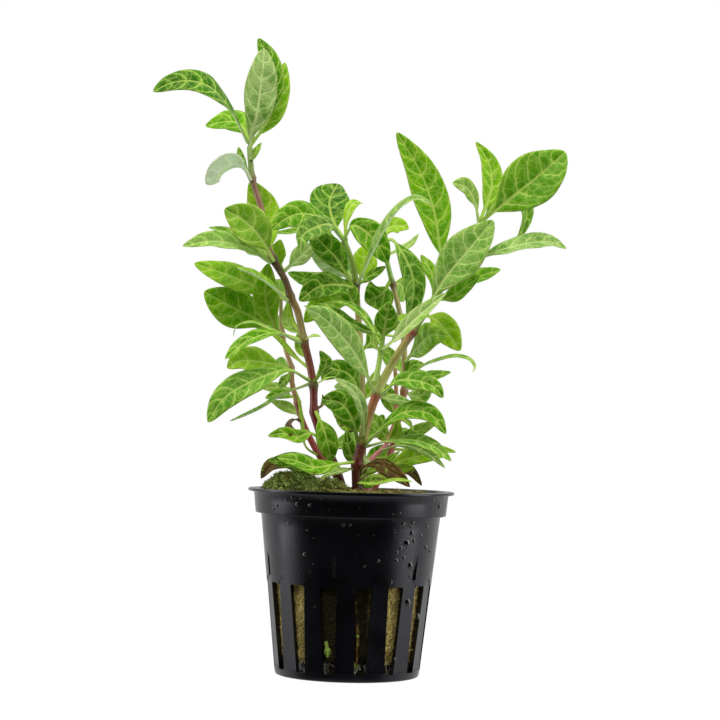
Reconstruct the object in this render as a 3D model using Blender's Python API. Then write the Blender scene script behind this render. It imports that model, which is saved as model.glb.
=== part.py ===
"""Potted hygrophila: a bushy stem plant rooted in a plug of rock wool in a slotted black net pot.

Lengths are millimetres until a mesh is made. X runs to the right, Y away from the viewer and Z up,
with the origin under the middle of the pot. Places on the plant are given as (x, z, depth): x and z
are read in the front view on the plane of the pot's axis, and depth is how far behind that plane
the point lies. The point itself is on the line of sight through (x, z).
"""
import math

import bmesh
import bpy
import numpy as np

MM = 0.001

# Viewing point of the front view
EYE = np.array([1.4, -535.0, 63.8])

# Net pot
POT_HEIGHT = 49.1
BASE_RADIUS = 19.2
WALL_TOP_RADIUS = 23.9
WALL_TOP = 42.6
COLLAR_BOTTOM_RADIUS = 25.4
COLLAR_TOP_RADIUS = 25.9
LIP_RADIUS = 27.5
LIP_THICKNESS = 0.8
WALL = 1.1
FLOOR = 1.4
BASE_CORNER = 0.6
POT_SEGMENTS = 60
SLOT_COUNT = 15
SLOT_FIRST_DEG = 10.2
SLOT_TOP = 24.7
SLOT_BOTTOM = 2.0
SLOT_TOP_WIDTH = 4.6
SLOT_BOTTOM_WIDTH = 2.9
SLOT_CORNER = 0.6
SLOT_CUT_FROM = 14.0
SLOT_CUT_TO = 30.0
FLOOR_SLOTS = 6
FLOOR_SLOT_WIDTH = 3.0
FLOOR_SLOT_INNER = 6.0
FLOOR_SLOT_OUTER = 14.5

# Rock wool and moss
GAP = 0.3
WOOL_BOTTOM = 4.6
WOOL_TOP = 48.2
WOOL_SEGMENTS = 30
WOOL_LUMP = 0.7
# Lumps on the wool: centre x and y, half widths, height
LUMPS = [(-7.0, -17.0, 6.2, 4.0, 3.6), (8.5, -15.0, 4.5, 4.0, 1.3)]
MOUND_CENTRE = (-15.3, -3.5)
MOUND_HALF = (8.2, 11.0)
MOUND_HEIGHT = 4.0
MOUND_SEGMENTS = 20
SOCKET_DEPTH = 2.4

# Stems and leaves
ROUTE_STEPS = 160
NODE_SWELLING = 0.22
NODE_LENGTH = 1.3
STEM_SIDES = 6
LEAF_STEPS = 60
LEAF_THICKNESS = 0.8
SMALL_LEAF_THICKNESS = 0.64
SMALL_LEAF_WIDTH = 5.0
LEAST_FOLD_DEG = 9
FOLD_SPREAD_DEG = 12
PETIOLE_SHARE = 0.13
STALK_HALF_WIDTH = 0.55
BLADE_FULLNESS = 0.95
TIP_BLUNTNESS = 0.28
STATION_SPACING = 5.0
SHARP_EDGE_DEG = 40

# Room between leaves that pass each other
CLEARANCE = 1.5
MEETING_REACH = 1.6
LONGEST_STEP = 2.0
LONGEST_PUSH = 1.5
SHARED_BASE = 0.25
OWN_STEM_BASE = 0.35
SPREAD_ROUNDS = 60

# Stems: radius at the foot, radius at the top, route of (x, z, depth) and heights of the nodes
STEMS = {
    "tall_stem": (1.05, 0.7, [(-2.2, 48.9, -5), (-4.6, 55.5, -6), (-7.4, 60.8, -7), (-9.6, 66.1, -7),
                               (-10.5, 69.5, -7), (-10.9, 76.5, -7), (-12.0, 82.1, -7), (-13.7, 88.4, -7),
                               (-15.8, 96.7, -6), (-17.5, 99.9, -6), (-19.2, 104.6, -6), (-22.3, 109.7, -6),
                               (-24.6, 115.2, -5), (-26.1, 123.5, -4), (-28.7, 131.4, -4), (-29.4, 136.5, -4),
                               (-29.8, 141.0, -4)], (69.5, 76.5, 88.4, 99.9, 109.7, 131.4)),
    "left_stem": (0.95, 0.4, [(-2.9, 49.0, 4), (-5.0, 54.3, 4), (-8.4, 57.5, 4), (-10.6, 61.0, 4),
                              (-12.5, 64.6, 4), (-14.0, 68.1, 5), (-15.1, 72.1, 5), (-16.6, 77.1, 5),
                              (-17.0, 81.4, 5), (-18.5, 85.9, 5), (-19.6, 90.5, 5), (-20.1, 96.6, 5),
                              (-20.2, 103.3, 6), (-19.8, 106.8, 6)], (72.1, 81.4, 90.5)),
    "main_stem": (1.25, 0.68, [(1.5, 48.4, -7), (1.3, 55.9, -8), (2.5, 61.5, -9), (4.2, 69.1, -10),
                              (6.2, 75.0, -11), (9.5, 82.1, -11), (14.9, 91.1, -11), (18.5, 97.0, -11),
                              (22.3, 103.0, -10), (27.5, 109.9, -9), (31.6, 118.0, -8),
                              (32.6, 121.5, -8)], (55.9, 61.5, 75.0, 91.1)),
    "centre_stem": (1.0, 0.7, [(2.6, 48.6, 6), (2.7, 54.3, 6), (2.3, 71.7, 6), (1.8, 81.1, 6), (1.0, 91.8, 6),
                               (0.2, 99.8, 6), (-0.2, 104.4, 6), (-1.4, 109.9, 6), (-2.8, 113.6, 6),
                               (-4.0, 116.3, 6)], (71.7, 104.4)),
    "right_stem": (0.95, 0.6, [(5.6, 48.8, 9), (7.6, 53.0, 10), (10.6, 60.7, 10), (12.5, 71.2, 10),
                               (13.4, 76.0, 10), (13.2, 85.4, 10), (12.7, 92.1, 10), (11.2, 98.7, 10),
                               (9.4, 105.1, 10), (8.0, 110.2, 9), (6.5, 115.2, 9)], (76.0, 105.1)),
    "thin_stem": (0.65, 0.5, [(4.2, 48.8, 1), (4.9, 56.8, 2), (8.7, 61.0, 4), (10.6, 65.2, 5), (11.4, 72.0, 5),
                              (11.2, 77.3, 5), (10.8, 82.1, 5)], (65.2,)),
    "side_shoot": (0.75, 0.55, [(5.4, 78.0, -13.4), (6.2, 81.2, -13), (6.9, 86.0, -12.5),
                                (7.4, 89.3, -12.5)], (86.0,)),
}

# Leaves that are pieces of their own: name, stem, width, facing at base and tip, route of (x, z, depth).
# Facing is 0 where the upper side is turned to the viewer, 90 where it is turned up and 180 where it
# is turned away. A leaf that stands or hangs straight turns to the right instead of up.
LEAVES = [
    ("tall_leaf_1", "tall_stem", 10.2, (75, 32), [(-29.8, 141.6, -4), (-33.7, 148.2, -6),
                                                  (-37.4, 153.0, -8), (-41.2, 156.3, -10),
                                                  (-46.1, 157.7, -11), (-51.3, 157.0, -12),
                                                  (-56.1, 154.6, -13)]),
    ("tall_leaf_2", "tall_stem", 8.2, (30, 25), [(-29.8, 140.9, -3), (-31.4, 145.2, 0), (-34.6, 147.0, 3),
                                                 (-38.2, 146.6, 4), (-41.8, 145.7, 5)]),
    ("tall_leaf_3", "tall_stem", 9.2, (15, 20), [(-29.3, 137.2, -5), (-29.5, 143.0, -7), (-28.2, 148.5, -9),
                                                 (-27.3, 155.5, -9), (-26.7, 162.5, -9),
                                                 (-26.6, 167.1, -8)]),
    ("tall_leaf_4", "tall_stem", 8.8, (10, 12), [(-29.4, 141.2, -3), (-26.8, 150.0, -2), (-25.2, 158.0, -1),
                                                 (-25.6, 164.5, 0), (-28.2, 169.8, 1)]),
    ("tall_leaf_5", "tall_stem", 7.2, (30, 25), [(-29.3, 140.4, -3), (-25.0, 147.5, 1), (-22.6, 154.5, 4),
                                                 (-20.8, 163.4, 6)]),
    ("tall_leaf_6", "tall_stem", 8.5, (80, 165), [(-28.9, 132.0, -4), (-31.2, 134.6, -6), (-34.2, 135.4, -8),
                                                  (-37.6, 133.6, -10), (-41.2, 130.0, -10)]),
    ("tall_leaf_7", "tall_stem", 9.5, (10, 10), [(-22.3, 110.5, -4), (-24.6, 117.9, 0), (-26.1, 124.5, 3),
                                                 (-29.2, 131.2, 5)]),
    ("tall_leaf_8", "tall_stem", 10.6, (20, 10), [(-22.6, 109.9, -7), (-25.9, 115.7, -10),
                                                  (-30.6, 120.4, -12), (-36.0, 123.4, -13)]),
    ("tall_leaf_9", "tall_stem", 8.0, (50, 45), [(-23.3, 109.3, -6), (-30.1, 113.2, -8), (-39.0, 114.6, -9),
                                                 (-47.0, 113.1, -10)]),
    ("tall_leaf_10", "tall_stem", 5.5, (60, 60), [(-22.6, 110.6, -3), (-31.6, 116.1, 0), (-40.2, 118.3, 2)]),
    ("tall_leaf_11", "tall_stem", 8.2, (25, 25), [(-17.7, 99.3, -4), (-25.3, 102.1, 0), (-34.5, 105.6, 2),
                                                  (-43.7, 108.6, 3)]),
    ("tall_leaf_12", "tall_stem", 6.0, (80, 75), [(-17.7, 99.8, -7), (-25.4, 104.8, -9), (-32.4, 107.8, -10)]),
    ("tall_leaf_13", "tall_stem", 6.5, (70, 52), [(-14.5, 88.8, -8), (-21.5, 90.4, -11), (-28.7, 88.1, -13),
                                                  (-34.7, 83.1, -14)]),
    ("tall_leaf_14", "tall_stem", 9.0, (50, 25), [(-11.3, 78.6, -8), (-17.5, 80.6, -12), (-26.5, 77.7, -15),
                                                  (-34.7, 72.6, -17), (-38.8, 66.1, -17)]),
    ("tall_leaf_15", "tall_stem", 5.0, (78, 80), [(-11.5, 77.2, -8), (-18.4, 74.4, -10), (-25.5, 69.9, -12),
                                                  (-30.8, 67.4, -12), (-33.2, 66.5, -12)]),
    ("tall_leaf_16", "tall_stem", 6.0, (20, 5), [(-10.2, 69.3, -9), (-8.0, 65.3, -12), (-6.6, 61.1, -13),
                                                 (-5.6, 56.5, -12)]),
    ("tall_leaf_17", "tall_stem", 4.5, (40, 20), [(-9.0, 63.4, -8), (-11.7, 63.9, -10), (-14.9, 62.7, -12),
                                                  (-18.7, 63.6, -13), (-22.7, 62.8, -13)]),
    ("left_leaf_1", "left_stem", 7.5, (10, 5), [(-19.9, 90.2, 4), (-23.2, 95.2, 1), (-24.5, 101.3, -1),
                                                (-23.9, 109.1, -2)]),
    ("left_leaf_2", "left_stem", 11.2, (15, 10), [(-19.1, 89.9, 5), (-26.2, 93.8, 4), (-33.8, 97.3, 3),
                                                  (-40.8, 101.1, 2)]),
    ("left_leaf_3", "left_stem", 8.5, (35, 20), [(-17.3, 81.4, 4), (-24.8, 82.5, 0), (-30.7, 82.7, -2),
                                                 (-34.1, 80.7, -3)]),
    ("left_leaf_4", "left_stem", 5.5, (10, 10), [(-19.8, 106.8, 6), (-15.9, 110.6, 8), (-12.0, 114.8, 9)]),
    ("left_leaf_5", "left_stem", 5.0, (10, 10), [(-19.8, 106.8, 6), (-21.5, 111.0, 6), (-20.8, 115.6, 6)]),
    ("centre_leaf_1", "centre_stem", 11.6, (10, 10), [(-4.0, 116.3, 6), (-6.8, 121.0, 4), (-7.9, 126.0, 3),
                                                      (-5.8, 131.0, 4)]),
    ("centre_leaf_2", "centre_stem", 8.0, (35, 25), [(-4.2, 116.2, 5), (-8.9, 121.0, 3), (-14.9, 122.7, 0),
                                                     (-19.6, 121.2, -2), (-23.0, 118.2, -3)]),
    ("centre_leaf_3", "centre_stem", 7.0, (30, 5), [(-4.3, 116.0, 4), (-7.5, 119.9, 0), (-12.3, 118.7, -4),
                                                    (-15.0, 116.5, -6), (-15.4, 112.5, -7)]),
    ("centre_leaf_4", "centre_stem", 8.0, (25, 15), [(-0.5, 104.4, 5), (-5.4, 110.6, 2), (-9.6, 114.8, 0),
                                                     (-13.1, 118.4, -1)]),
    ("centre_leaf_5", "centre_stem", 7.0, (170, 165), [(-0.5, 104.4, 7), (-5.9, 109.0, 9), (-9.5, 111.3, 10),
                                                       (-12.7, 112.9, 10)]),
    ("centre_leaf_6", "centre_stem", 8.2, (15, 5), [(-3.8, 116.6, 5), (-1.5, 119.8, 2), (2.2, 118.2, 0),
                                                    (5.6, 114.4, -1), (8.2, 110.0, -1)]),
    ("centre_leaf_7", "centre_stem", 7.4, (10, 10), [(0.4, 104.3, 7), (1.8, 108.9, 10), (1.4, 114.3, 12)]),
    ("centre_leaf_8", "centre_stem", 6.0, (60, 68), [(0.4, 104.6, 4), (3.4, 111.4, -3), (7.2, 119.2, -7),
                                                     (11.1, 125.0, -9), (15.3, 127.5, -10),
                                                     (19.9, 126.0, -10)]),
    ("centre_leaf_9", "centre_stem", 8.0, (25, 15), [(-0.4, 103.4, 4), (-5.5, 103.8, -1), (-10.3, 103.0, -3),
                                                     (-15.3, 99.2, -4)]),
    ("right_leaf_1", "right_stem", 5.5, (20, 20), [(6.5, 115.2, 9), (8.0, 119.3, 11), (10.7, 120.2, 12),
                                                   (13.6, 119.4, 12)]),
    ("right_leaf_2", "right_stem", 7.2, (30, 15), [(6.6, 115.6, 8), (8.8, 116.4, 6), (12.2, 112.4, 3),
                                                   (15.0, 106.2, 1), (15.2, 100.4, 0), (14.0, 94.8, 0)]),
    ("right_leaf_3", "right_stem", 9.6, (15, 10), [(9.4, 104.8, 9), (7.0, 101.8, 6), (2.4, 99.4, 3)]),
    ("right_leaf_4", "right_stem", 8.0, (25, 15), [(13.4, 83.6, 9), (16.6, 87.4, 1), (20.4, 91.0, -6),
                                                   (24.6, 90.8, -9)]),
    ("right_leaf_5", "right_stem", 1.8, (40, 60), [(13.4, 76.6, 9), (17.5, 82.0, 4), (22.4, 84.4, 0),
                                                   (27.6, 85.5, -2), (31.1, 84.5, -3), (32.2, 82.7, -3),
                                                   (31.5, 81.1, -3)]),
    ("main_leaf_1", "main_stem", 7.8, (20, 25), [(5.4, 75.6, -13), (2.2, 81.9, -15), (-1.3, 87.2, -16),
                                                 (-6.0, 92.4, -15), (-10.1, 95.8, -13), (-13.4, 97.0, -11)]),
    ("main_leaf_2", "side_shoot", 5.0, (30, 35), [(7.5, 87.0, -13), (10.6, 89.6, -16), (16.6, 95.8, -18),
                                                  (24.1, 102.4, -18)]),
    ("main_leaf_3", "main_stem", 12.0, (20, 22), [(18.4, 98.4, -12), (23.1, 105.5, -14), (29.6, 113.9, -15),
                                                  (36.2, 122.2, -14)]),
    ("main_leaf_4", "main_stem", 8.2, (60, 50), [(27.8, 110.2, -10), (35.4, 113.0, -12), (44.8, 116.1, -13),
                                                 (51.5, 116.8, -13), (56.0, 115.1, -13)]),
    ("main_leaf_5", "main_stem", 10.2, (10, 10), [(25.5, 107.1, -9), (22.3, 113.7, -6), (20.2, 124.4, -3),
                                                  (16.4, 134.5, -1), (9.7, 145.3, 0)]),
    ("main_leaf_6", "main_stem", 14.6, (10, 12), [(32.3, 121.5, -9), (38.3, 126.3, -11), (44.7, 131.7, -12),
                                                  (50.5, 136.7, -12), (55.1, 141.2, -11)]),
    ("main_leaf_7", "main_stem", 6.5, (15, 20), [(32.8, 121.8, -7), (35.5, 131.5, -4), (34.6, 137.6, -2),
                                                 (31.0, 143.3, -1)]),
    ("main_leaf_8", "main_stem", 5.5, (35, 40), [(31.8, 121.2, -7), (31.0, 127.5, -5), (28.6, 131.0, -4),
                                                 (25.0, 132.0, -4)]),
    ("main_leaf_9", "main_stem", 7.4, (10, 10), [(18.0, 96.4, -9), (21.6, 95.0, -4), (25.0, 91.4, -2),
                                                 (28.2, 87.0, -1)]),
    ("main_leaf_10", "main_stem", 7.0, (50, 30), [(7.2, 75.2, -13), (11.7, 78.4, -15), (17.1, 78.5, -17),
                                                  (21.4, 77.0, -18), (23.9, 74.2, -18)]),
    ("main_leaf_11", "main_stem", 6.8, (60, 35), [(3.6, 62.0, -11), (8.0, 66.0, -13), (13.8, 70.1, -15),
                                                  (20.5, 69.8, -16), (24.9, 64.6, -16)]),
    ("main_leaf_12", "main_stem", 5.5, (70, 45), [(3.9, 61.0, -11), (9.5, 62.3, -14), (15.9, 62.7, -16),
                                                  (21.5, 61.2, -17), (26.5, 57.4, -17)]),
    ("main_leaf_13", "main_stem", 8.5, (15, 10), [(1.7, 62.2, -11), (-0.3, 68.2, -13), (-3.6, 72.1, -14),
                                                  (-8.7, 73.0, -14)]),
    ("main_leaf_14", "main_stem", 5.8, (60, 25), [(0.8, 56.2, -10), (-4.6, 55.7, -13), (-10.1, 54.8, -15),
                                                  (-15.3, 56.5, -16), (-20.1, 57.1, -16)]),
]

# Small leaves, axil shoots and withered scraps, each fused to the stem it grows from: stem, width,
# facing at base and tip, route of (x, z, depth)
SMALL_LEAVES = [
    ("tall_stem", 2.5, (20, 20), [(-29.3, 131.7, -5), (-31.5, 135.7, -6), (-32.7, 140.2, -6)]),
    ("tall_stem", 2.8, (40, 40), [(-29.2, 136.4, -5), (-28.0, 138.8, -7), (-26.6, 141.6, -8)]),
    ("tall_stem", 1.6, (40, 60), [(-14.3, 88.4, -8), (-21.8, 91.0, -9), (-28.0, 93.2, -9), (-32.0, 91.8, -9),
                                  (-32.7, 89.0, -9)]),
    ("tall_stem", 3.4, (20, 20), [(-15.1, 89.2, -6), (-17.5, 92.4, -3), (-19.8, 95.0, -1)]),
    ("tall_stem", 1.3, (20, 20), [(-14.6, 89.5, -6), (-16.8, 93.5, -4), (-17.6, 98.1, -3)]),
    ("tall_stem", 1.3, (50, 50), [(-13.2, 88.5, -7), (-11.6, 89.9, -9), (-9.2, 89.9, -10)]),
    ("tall_stem", 3.6, (20, 20), [(-10.5, 77.3, -8), (-8.1, 81.4, -10), (-7.7, 83.5, -11), (-9.4, 86.1, -11)]),
    ("tall_stem", 2.5, (40, 40), [(-10.2, 78.0, -6), (-7.4, 81.4, -5), (-4.4, 80.7, -4)]),
    ("tall_stem", 1.6, (70, 70), [(-10.5, 76.4, -8), (-7.4, 78.6, -8), (-4.8, 79.2, -7)]),
    ("tall_stem", 2.6, (30, 90), [(-10.2, 70.0, -6), (-8.0, 71.8, -6), (-8.4, 74.4, -6)]),
    ("left_stem", 3.6, (30, 30), [(-15.4, 73.2, 4), (-19.5, 74.2, 1), (-23.7, 72.9, 0)]),
    ("left_stem", 3.0, (20, 20), [(-16.6, 75.2, 6), (-20.9, 75.9, 8), (-24.6, 75.6, 9)]),
    ("left_stem", 3.4, (20, 20), [(-14.3, 68.1, 6), (-17.5, 70.4, 8), (-22.1, 72.2, 9)]),
    ("left_stem", 3.0, (20, 20), [(-16.9, 80.6, 3), (-18.3, 78.2, 1), (-20.1, 76.0, 0)]),
    ("left_stem", 2.8, (10, 10), [(-19.7, 91.0, 6), (-18.4, 96.1, 8), (-18.2, 99.5, 9)]),
    ("left_stem", 2.6, (20, 80), [(-13.6, 66.5, 3), (-15.6, 67.4, 0), (-17.2, 65.6, -2), (-15.2, 64.2, -3)]),
    ("left_stem", 1.2, (20, 20), [(-8.3, 57.6, 3), (-12.6, 60.4, 0), (-13.6, 66.0, 0), (-14.6, 72.4, 0),
                                  (-15.6, 75.5, 1)]),
    ("left_stem", 6.5, (40, 20), [(-5.6, 54.6, 3), (-13.8, 55.6, -4), (-18.0, 56.2, -8), (-22.4, 56.2, -10)]),
    ("left_stem", 5.6, (40, 50), [(-6.6, 55.8, 5), (-15.0, 55.4, 6), (-21.4, 55.0, 3), (-24.2, 51.4, 1)]),
    ("centre_stem", 3.0, (10, 10), [(-4.2, 116.3, 5), (-3.4, 120.7, 2), (-2.3, 124.7, 1), (-0.7, 126.2, 1),
                                    (1.1, 125.8, 1)]),
    ("centre_stem", 5.5, (60, 50), [(-3.8, 115.6, 7), (-12.9, 118.5, 9), (-18.2, 117.5, 9),
                                    (-22.7, 117.2, 8)]),
    ("centre_stem", 3.4, (40, 30), [(0.2, 104.0, 4), (3.8, 106.5, 3), (7.7, 109.1, 3)]),
    ("centre_stem", 5.6, (10, 10), [(0.6, 96.6, 4), (-1.8, 101.0, 3), (-3.4, 105.4, 3)]),
    ("centre_stem", 6.4, (30, 30), [(-0.3, 104.4, 8), (-7.7, 104.4, 12), (-13.3, 104.8, 13),
                                    (-18.6, 106.8, 13)]),
    ("centre_stem", 7.0, (10, 10), [(0.0, 99.0, 7), (-4.5, 99.4, 11), (-9.1, 98.4, 13), (-13.8, 93.5, 13)]),
    ("centre_stem", 4.0, (20, 20), [(2.2, 64.6, 5), (-3.0, 67.3, 2), (-4.7, 71.2, 1)]),
    ("centre_stem", 4.2, (10, 10), [(2.6, 55.0, 5), (-0.6, 59.1, 0), (-1.8, 65.0, -2)]),
    ("centre_stem", 6.5, (25, 20), [(2.0, 72.4, 5), (-0.8, 79.2, 1), (-4.9, 81.0, -1), (-8.9, 78.4, -2)]),
    ("right_stem", 2.2, (20, 20), [(7.4, 112.0, 9), (14.0, 115.2, 12), (16.3, 118.1, 13)]),
    ("right_stem", 4.0, (35, 30), [(13.4, 77.8, 9), (15.2, 82.3, 7), (18.6, 83.2, 6)]),
    ("right_stem", 4.4, (45, 40), [(13.5, 76.8, 8), (19.7, 79.4, 3), (25.9, 81.2, 1)]),
    ("right_stem", 5.0, (20, 20), [(13.4, 75.4, 11), (17.2, 74.4, 12), (20.8, 76.2, 13)]),
    ("right_stem", 4.0, (35, 30), [(12.6, 71.4, 9), (16.2, 72.4, 6), (19.9, 71.0, 5)]),
    ("right_stem", 4.0, (25, 25), [(11.2, 62.6, 11), (16.6, 64.8, 11), (22.7, 68.0, 11)]),
    ("right_stem", 3.6, (40, 30), [(10.8, 61.6, 9), (14.8, 64.0, 5), (17.8, 64.2, 3)]),
    ("right_stem", 3.5, (40, 30), [(10.4, 60.2, 10), (16.6, 59.8, 7), (22.6, 60.5, 5), (27.8, 59.8, 4)]),
    ("right_stem", 5.8, (35, 25), [(8.4, 54.6, 9), (12.8, 56.9, 4), (18.1, 58.6, 1), (24.9, 58.9, -1)]),
    ("thin_stem", 4.0, (30, 90), [(11.2, 68.8, 4), (14.2, 67.5, 0), (16.4, 65.1, -2)]),
    ("thin_stem", 3.2, (10, 10), [(9.6, 62.2, 3), (12.0, 65.4, -1), (11.4, 69.2, -2)]),
    ("thin_stem", 3.6, (60, 45), [(8.0, 60.2, 2), (13.5, 61.2, -5), (18.1, 60.2, -9), (21.9, 58.0, -11),
                                  (24.9, 55.5, -11)]),
    ("thin_stem", 4.0, (30, 20), [(4.8, 53.0, 0), (10.8, 53.4, -4), (13.7, 55.0, -6), (16.8, 55.4, -7)]),
    ("main_stem", 4.8, (55, 50), [(14.2, 90.2, -9), (3.4, 91.4, -6), (-1.5, 93.6, -7), (-7.8, 97.6, -7),
                                  (-14.2, 97.8, -6)]),
    ("main_stem", 7.2, (15, 5), [(32.8, 121.2, -6), (38.0, 128.2, -3), (43.2, 128.8, -1), (45.2, 124.0, 0),
                                 (42.4, 116.2, 0)]),
    ("main_stem", 6.4, (45, 40), [(23.9, 105.4, -8), (31.6, 106.6, -6), (38.5, 109.1, -5)]),
    ("main_stem", 7.0, (40, 40), [(20.3, 99.8, -9), (25.2, 101.2, -8), (29.4, 104.2, -8), (33.0, 107.2, -8)]),
    ("main_stem", 4.0, (30, 30), [(20.8, 101.0, -11), (20.1, 107.0, -11), (17.0, 112.5, -10)]),
    ("main_stem", 4.0, (40, 40), [(6.4, 74.0, -11), (10.8, 73.3, -12), (15.4, 72.9, -12)]),
    ("main_stem", 3.8, (30, 35), [(2.6, 62.0, -11), (2.6, 69.0, -15), (0.3, 74.9, -17), (-5.4, 78.9, -17)]),
    ("main_stem", 3.0, (40, 60), [(1.2, 54.8, -8), (-4.6, 53.4, -12), (-9.0, 51.6, -14)]),
    ("main_stem", 3.2, (40, 40), [(1.6, 52.0, -8), (8.0, 55.8, -11), (12.7, 59.7, -12)]),
    ("main_stem", 4.4, (10, 10), [(2.2, 54.4, -8), (6.4, 56.2, -11), (10.2, 54.6, -13), (13.6, 52.2, -14),
                                 (15.6, 50.2, -14)]),
    ("main_stem", 2.2, (60, 60), [(1.8, 51.0, -8), (7.0, 50.8, -13), (12.0, 51.9, -15), (16.4, 51.6, -16)]),
    ("main_stem", 3.4, (20, 20), [(1.9, 50.6, -8), (5.0, 51.2, -12), (7.4, 52.4, -13)]),
    ("tall_stem", 6.5, (20, 20), [(-22.3, 109.7, -4), (-26.0, 113.0, 3), (-30.0, 113.5, 10)]),
    ("tall_stem", 6.5, (15, 20), [(-17.5, 99.9, -4), (-22.0, 102.0, 5), (-27.0, 101.5, 12)]),
    ("left_stem", 7.0, (20, 20), [(-19.6, 90.5, 6), (-23.0, 93.0, 13), (-27.0, 94.0, 20)]),
    ("left_stem", 6.5, (20, 20), [(-17.0, 81.4, 6), (-20.0, 81.0, 14), (-24.0, 80.0, 21)]),
    ("centre_stem", 7.0, (20, 20), [(-0.2, 104.0, 8), (-3.0, 108.0, 16), (-6.0, 110.0, 24)]),
    ("centre_stem", 7.0, (20, 20), [(1.2, 88.0, 7), (-2.0, 92.0, 15), (-5.0, 94.0, 23)]),
    ("centre_stem", 6.5, (20, 20), [(2.3, 71.7, 7), (-1.0, 76.0, 15), (-5.0, 77.0, 23)]),
    ("centre_stem", 6.0, (20, 20), [(2.6, 60.0, 7), (-1.0, 62.0, 14), (-5.0, 61.0, 20)]),
    ("right_stem", 7.0, (20, 20), [(9.4, 105.0, 11), (12.0, 104.0, 19), (13.0, 100.0, 26)]),
    ("right_stem", 7.0, (20, 20), [(13.3, 91.0, 11), (10.0, 94.0, 19), (6.0, 95.0, 26)]),
    ("right_stem", 7.0, (20, 20), [(13.4, 76.0, 12), (15.0, 78.0, 20), (18.0, 77.0, 27)]),
    ("right_stem", 6.5, (20, 20), [(10.6, 60.7, 11), (14.0, 63.0, 18), (18.0, 62.0, 25)]),
    ("main_stem", 6.5, (20, 20), [(14.9, 91.1, -10), (14.3, 94.0, -3), (13.0, 96.5, 4)]),
    ("main_stem", 6.5, (20, 20), [(27.5, 109.9, -8), (27.5, 113.5, 0), (27.0, 116.5, 7)]),
    ("side_shoot", 6.6, (10, 5), [(7.4, 89.0, -12.5), (8.0, 94.1, -13), (8.8, 99.6, -13)]),
    ("side_shoot", 3.8, (55, 50), [(7.0, 87.4, -12), (3.3, 93.9, -10), (-1.1, 98.2, -9), (-6.2, 99.3, -9)]),
    ("side_shoot", 2.2, (20, 20), [(6.9, 86.2, -12.5), (4.8, 88.4, -13), (5.5, 91.6, -13)]),
    ("tall_stem", 1.7, (20, 20), [(-12.0, 80.6, -8), (-16.2, 84.4, -7), (-20.0, 88.4, -6), (-23.4, 90.8, -6)]),
    ("tall_stem", 2.8, (15, 15), [(-12.4, 83.0, -6), (-14.6, 86.0, -3), (-15.6, 90.4, -2)]),
    ("right_stem", 4.0, (20, 60), [(6.6, 51.4, 9), (12.0, 53.8, 3), (15.8, 54.2, -4), (18.8, 50.6, -7)]),
    ("main_stem", 2.4, (10, 10), [(2.2, 52.4, -9), (4.0, 55.2, -11), (3.4, 58.4, -11)]),
    ("centre_stem", 5.0, (20, 20), [(1.4, 86.0, 5), (4.8, 89.4, 4), (6.4, 94.0, 3)]),
    ("right_stem", 5.6, (25, 20), [(12.2, 68.4, 10), (9.6, 73.0, 12), (8.6, 77.6, 13)]),
    ("right_stem", 5.4, (30, 25), [(10.8, 61.8, 9), (7.2, 65.4, 6), (5.0, 69.6, 5)]),
    ("centre_stem", 5.2, (20, 15), [(2.6, 62.0, 7), (6.2, 64.8, 10), (8.0, 69.4, 12)]),
    ("centre_stem", 5.0, (20, 20), [(2.2, 72.6, 7), (5.2, 76.4, 9), (6.0, 81.2, 10)]),
    ("right_stem", 5.2, (25, 20), [(13.3, 80.0, 11), (10.2, 83.4, 13), (8.6, 87.6, 14)]),
    ("centre_stem", 5.0, (25, 20), [(2.6, 57.0, 7), (6.0, 58.0, 9), (9.6, 61.4, 11)]),
]

# Base colour and roughness of each material
COLOURS = {
    "net_pot": ((0.012, 0.012, 0.013), 0.32),
    "rock_wool": ((0.28, 0.24, 0.08), 0.95),
    "moss_mound": ((0.10, 0.14, 0.03), 0.95),
    "stem": ((0.16, 0.07, 0.03), 0.5),
    "leaf": ((0.10, 0.30, 0.02), 0.45),
}


def clear_scene():
    """Remove whatever the file opened with."""
    for item in list(bpy.data.objects):
        bpy.data.objects.remove(item, do_unlink=True)


def material(kind):
    """The material of one kind of piece, made once."""
    found = bpy.data.materials.get(kind)
    if found:
        return found
    colour, roughness = COLOURS[kind]
    made = bpy.data.materials.new(kind)
    made.use_nodes = True
    shader = made.node_tree.nodes["Principled BSDF"]
    shader.inputs["Base Color"].default_value = (*colour, 1.0)
    shader.inputs["Roughness"].default_value = roughness
    shader.inputs["Metallic"].default_value = 0.0
    return made


def add_mesh(name, points, faces, kind):
    """Make an object from points in millimetres, with its faces turned outward."""
    bm = bmesh.new()
    verts = [bm.verts.new([c * MM for c in p]) for p in points]
    for face in faces:
        bm.faces.new([verts[i] for i in face])
    bmesh.ops.recalc_face_normals(bm, faces=bm.faces)
    mesh = bpy.data.meshes.new(name)
    bm.to_mesh(mesh)
    bm.free()
    piece = bpy.data.objects.new(name, mesh)
    bpy.context.collection.objects.link(piece)
    mesh.materials.append(material(kind))
    mesh.shade_smooth()
    mesh.set_sharp_from_angle(angle=math.radians(SHARP_EDGE_DEG))
    return piece


def cut(piece, cutter, operation="DIFFERENCE"):
    """Take a cutter out of a piece, or join it on, and keep it as a guide."""
    step = piece.modifiers.new(cutter.name, "BOOLEAN")
    step.operation = operation
    step.solver = "EXACT"
    step.object = cutter
    cutter.hide_render = True
    cutter.display_type = "WIRE"


def seen(x, z, depth):
    """The point at this depth on the line of sight through (x, z) of the pot's axis plane."""
    on_plane = np.array([x, 0.0, z])
    return EYE + (on_plane - EYE) * (1 - depth / EYE[1])


def unit(v):
    return v / np.linalg.norm(v, axis=-1, keepdims=True)


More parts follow.
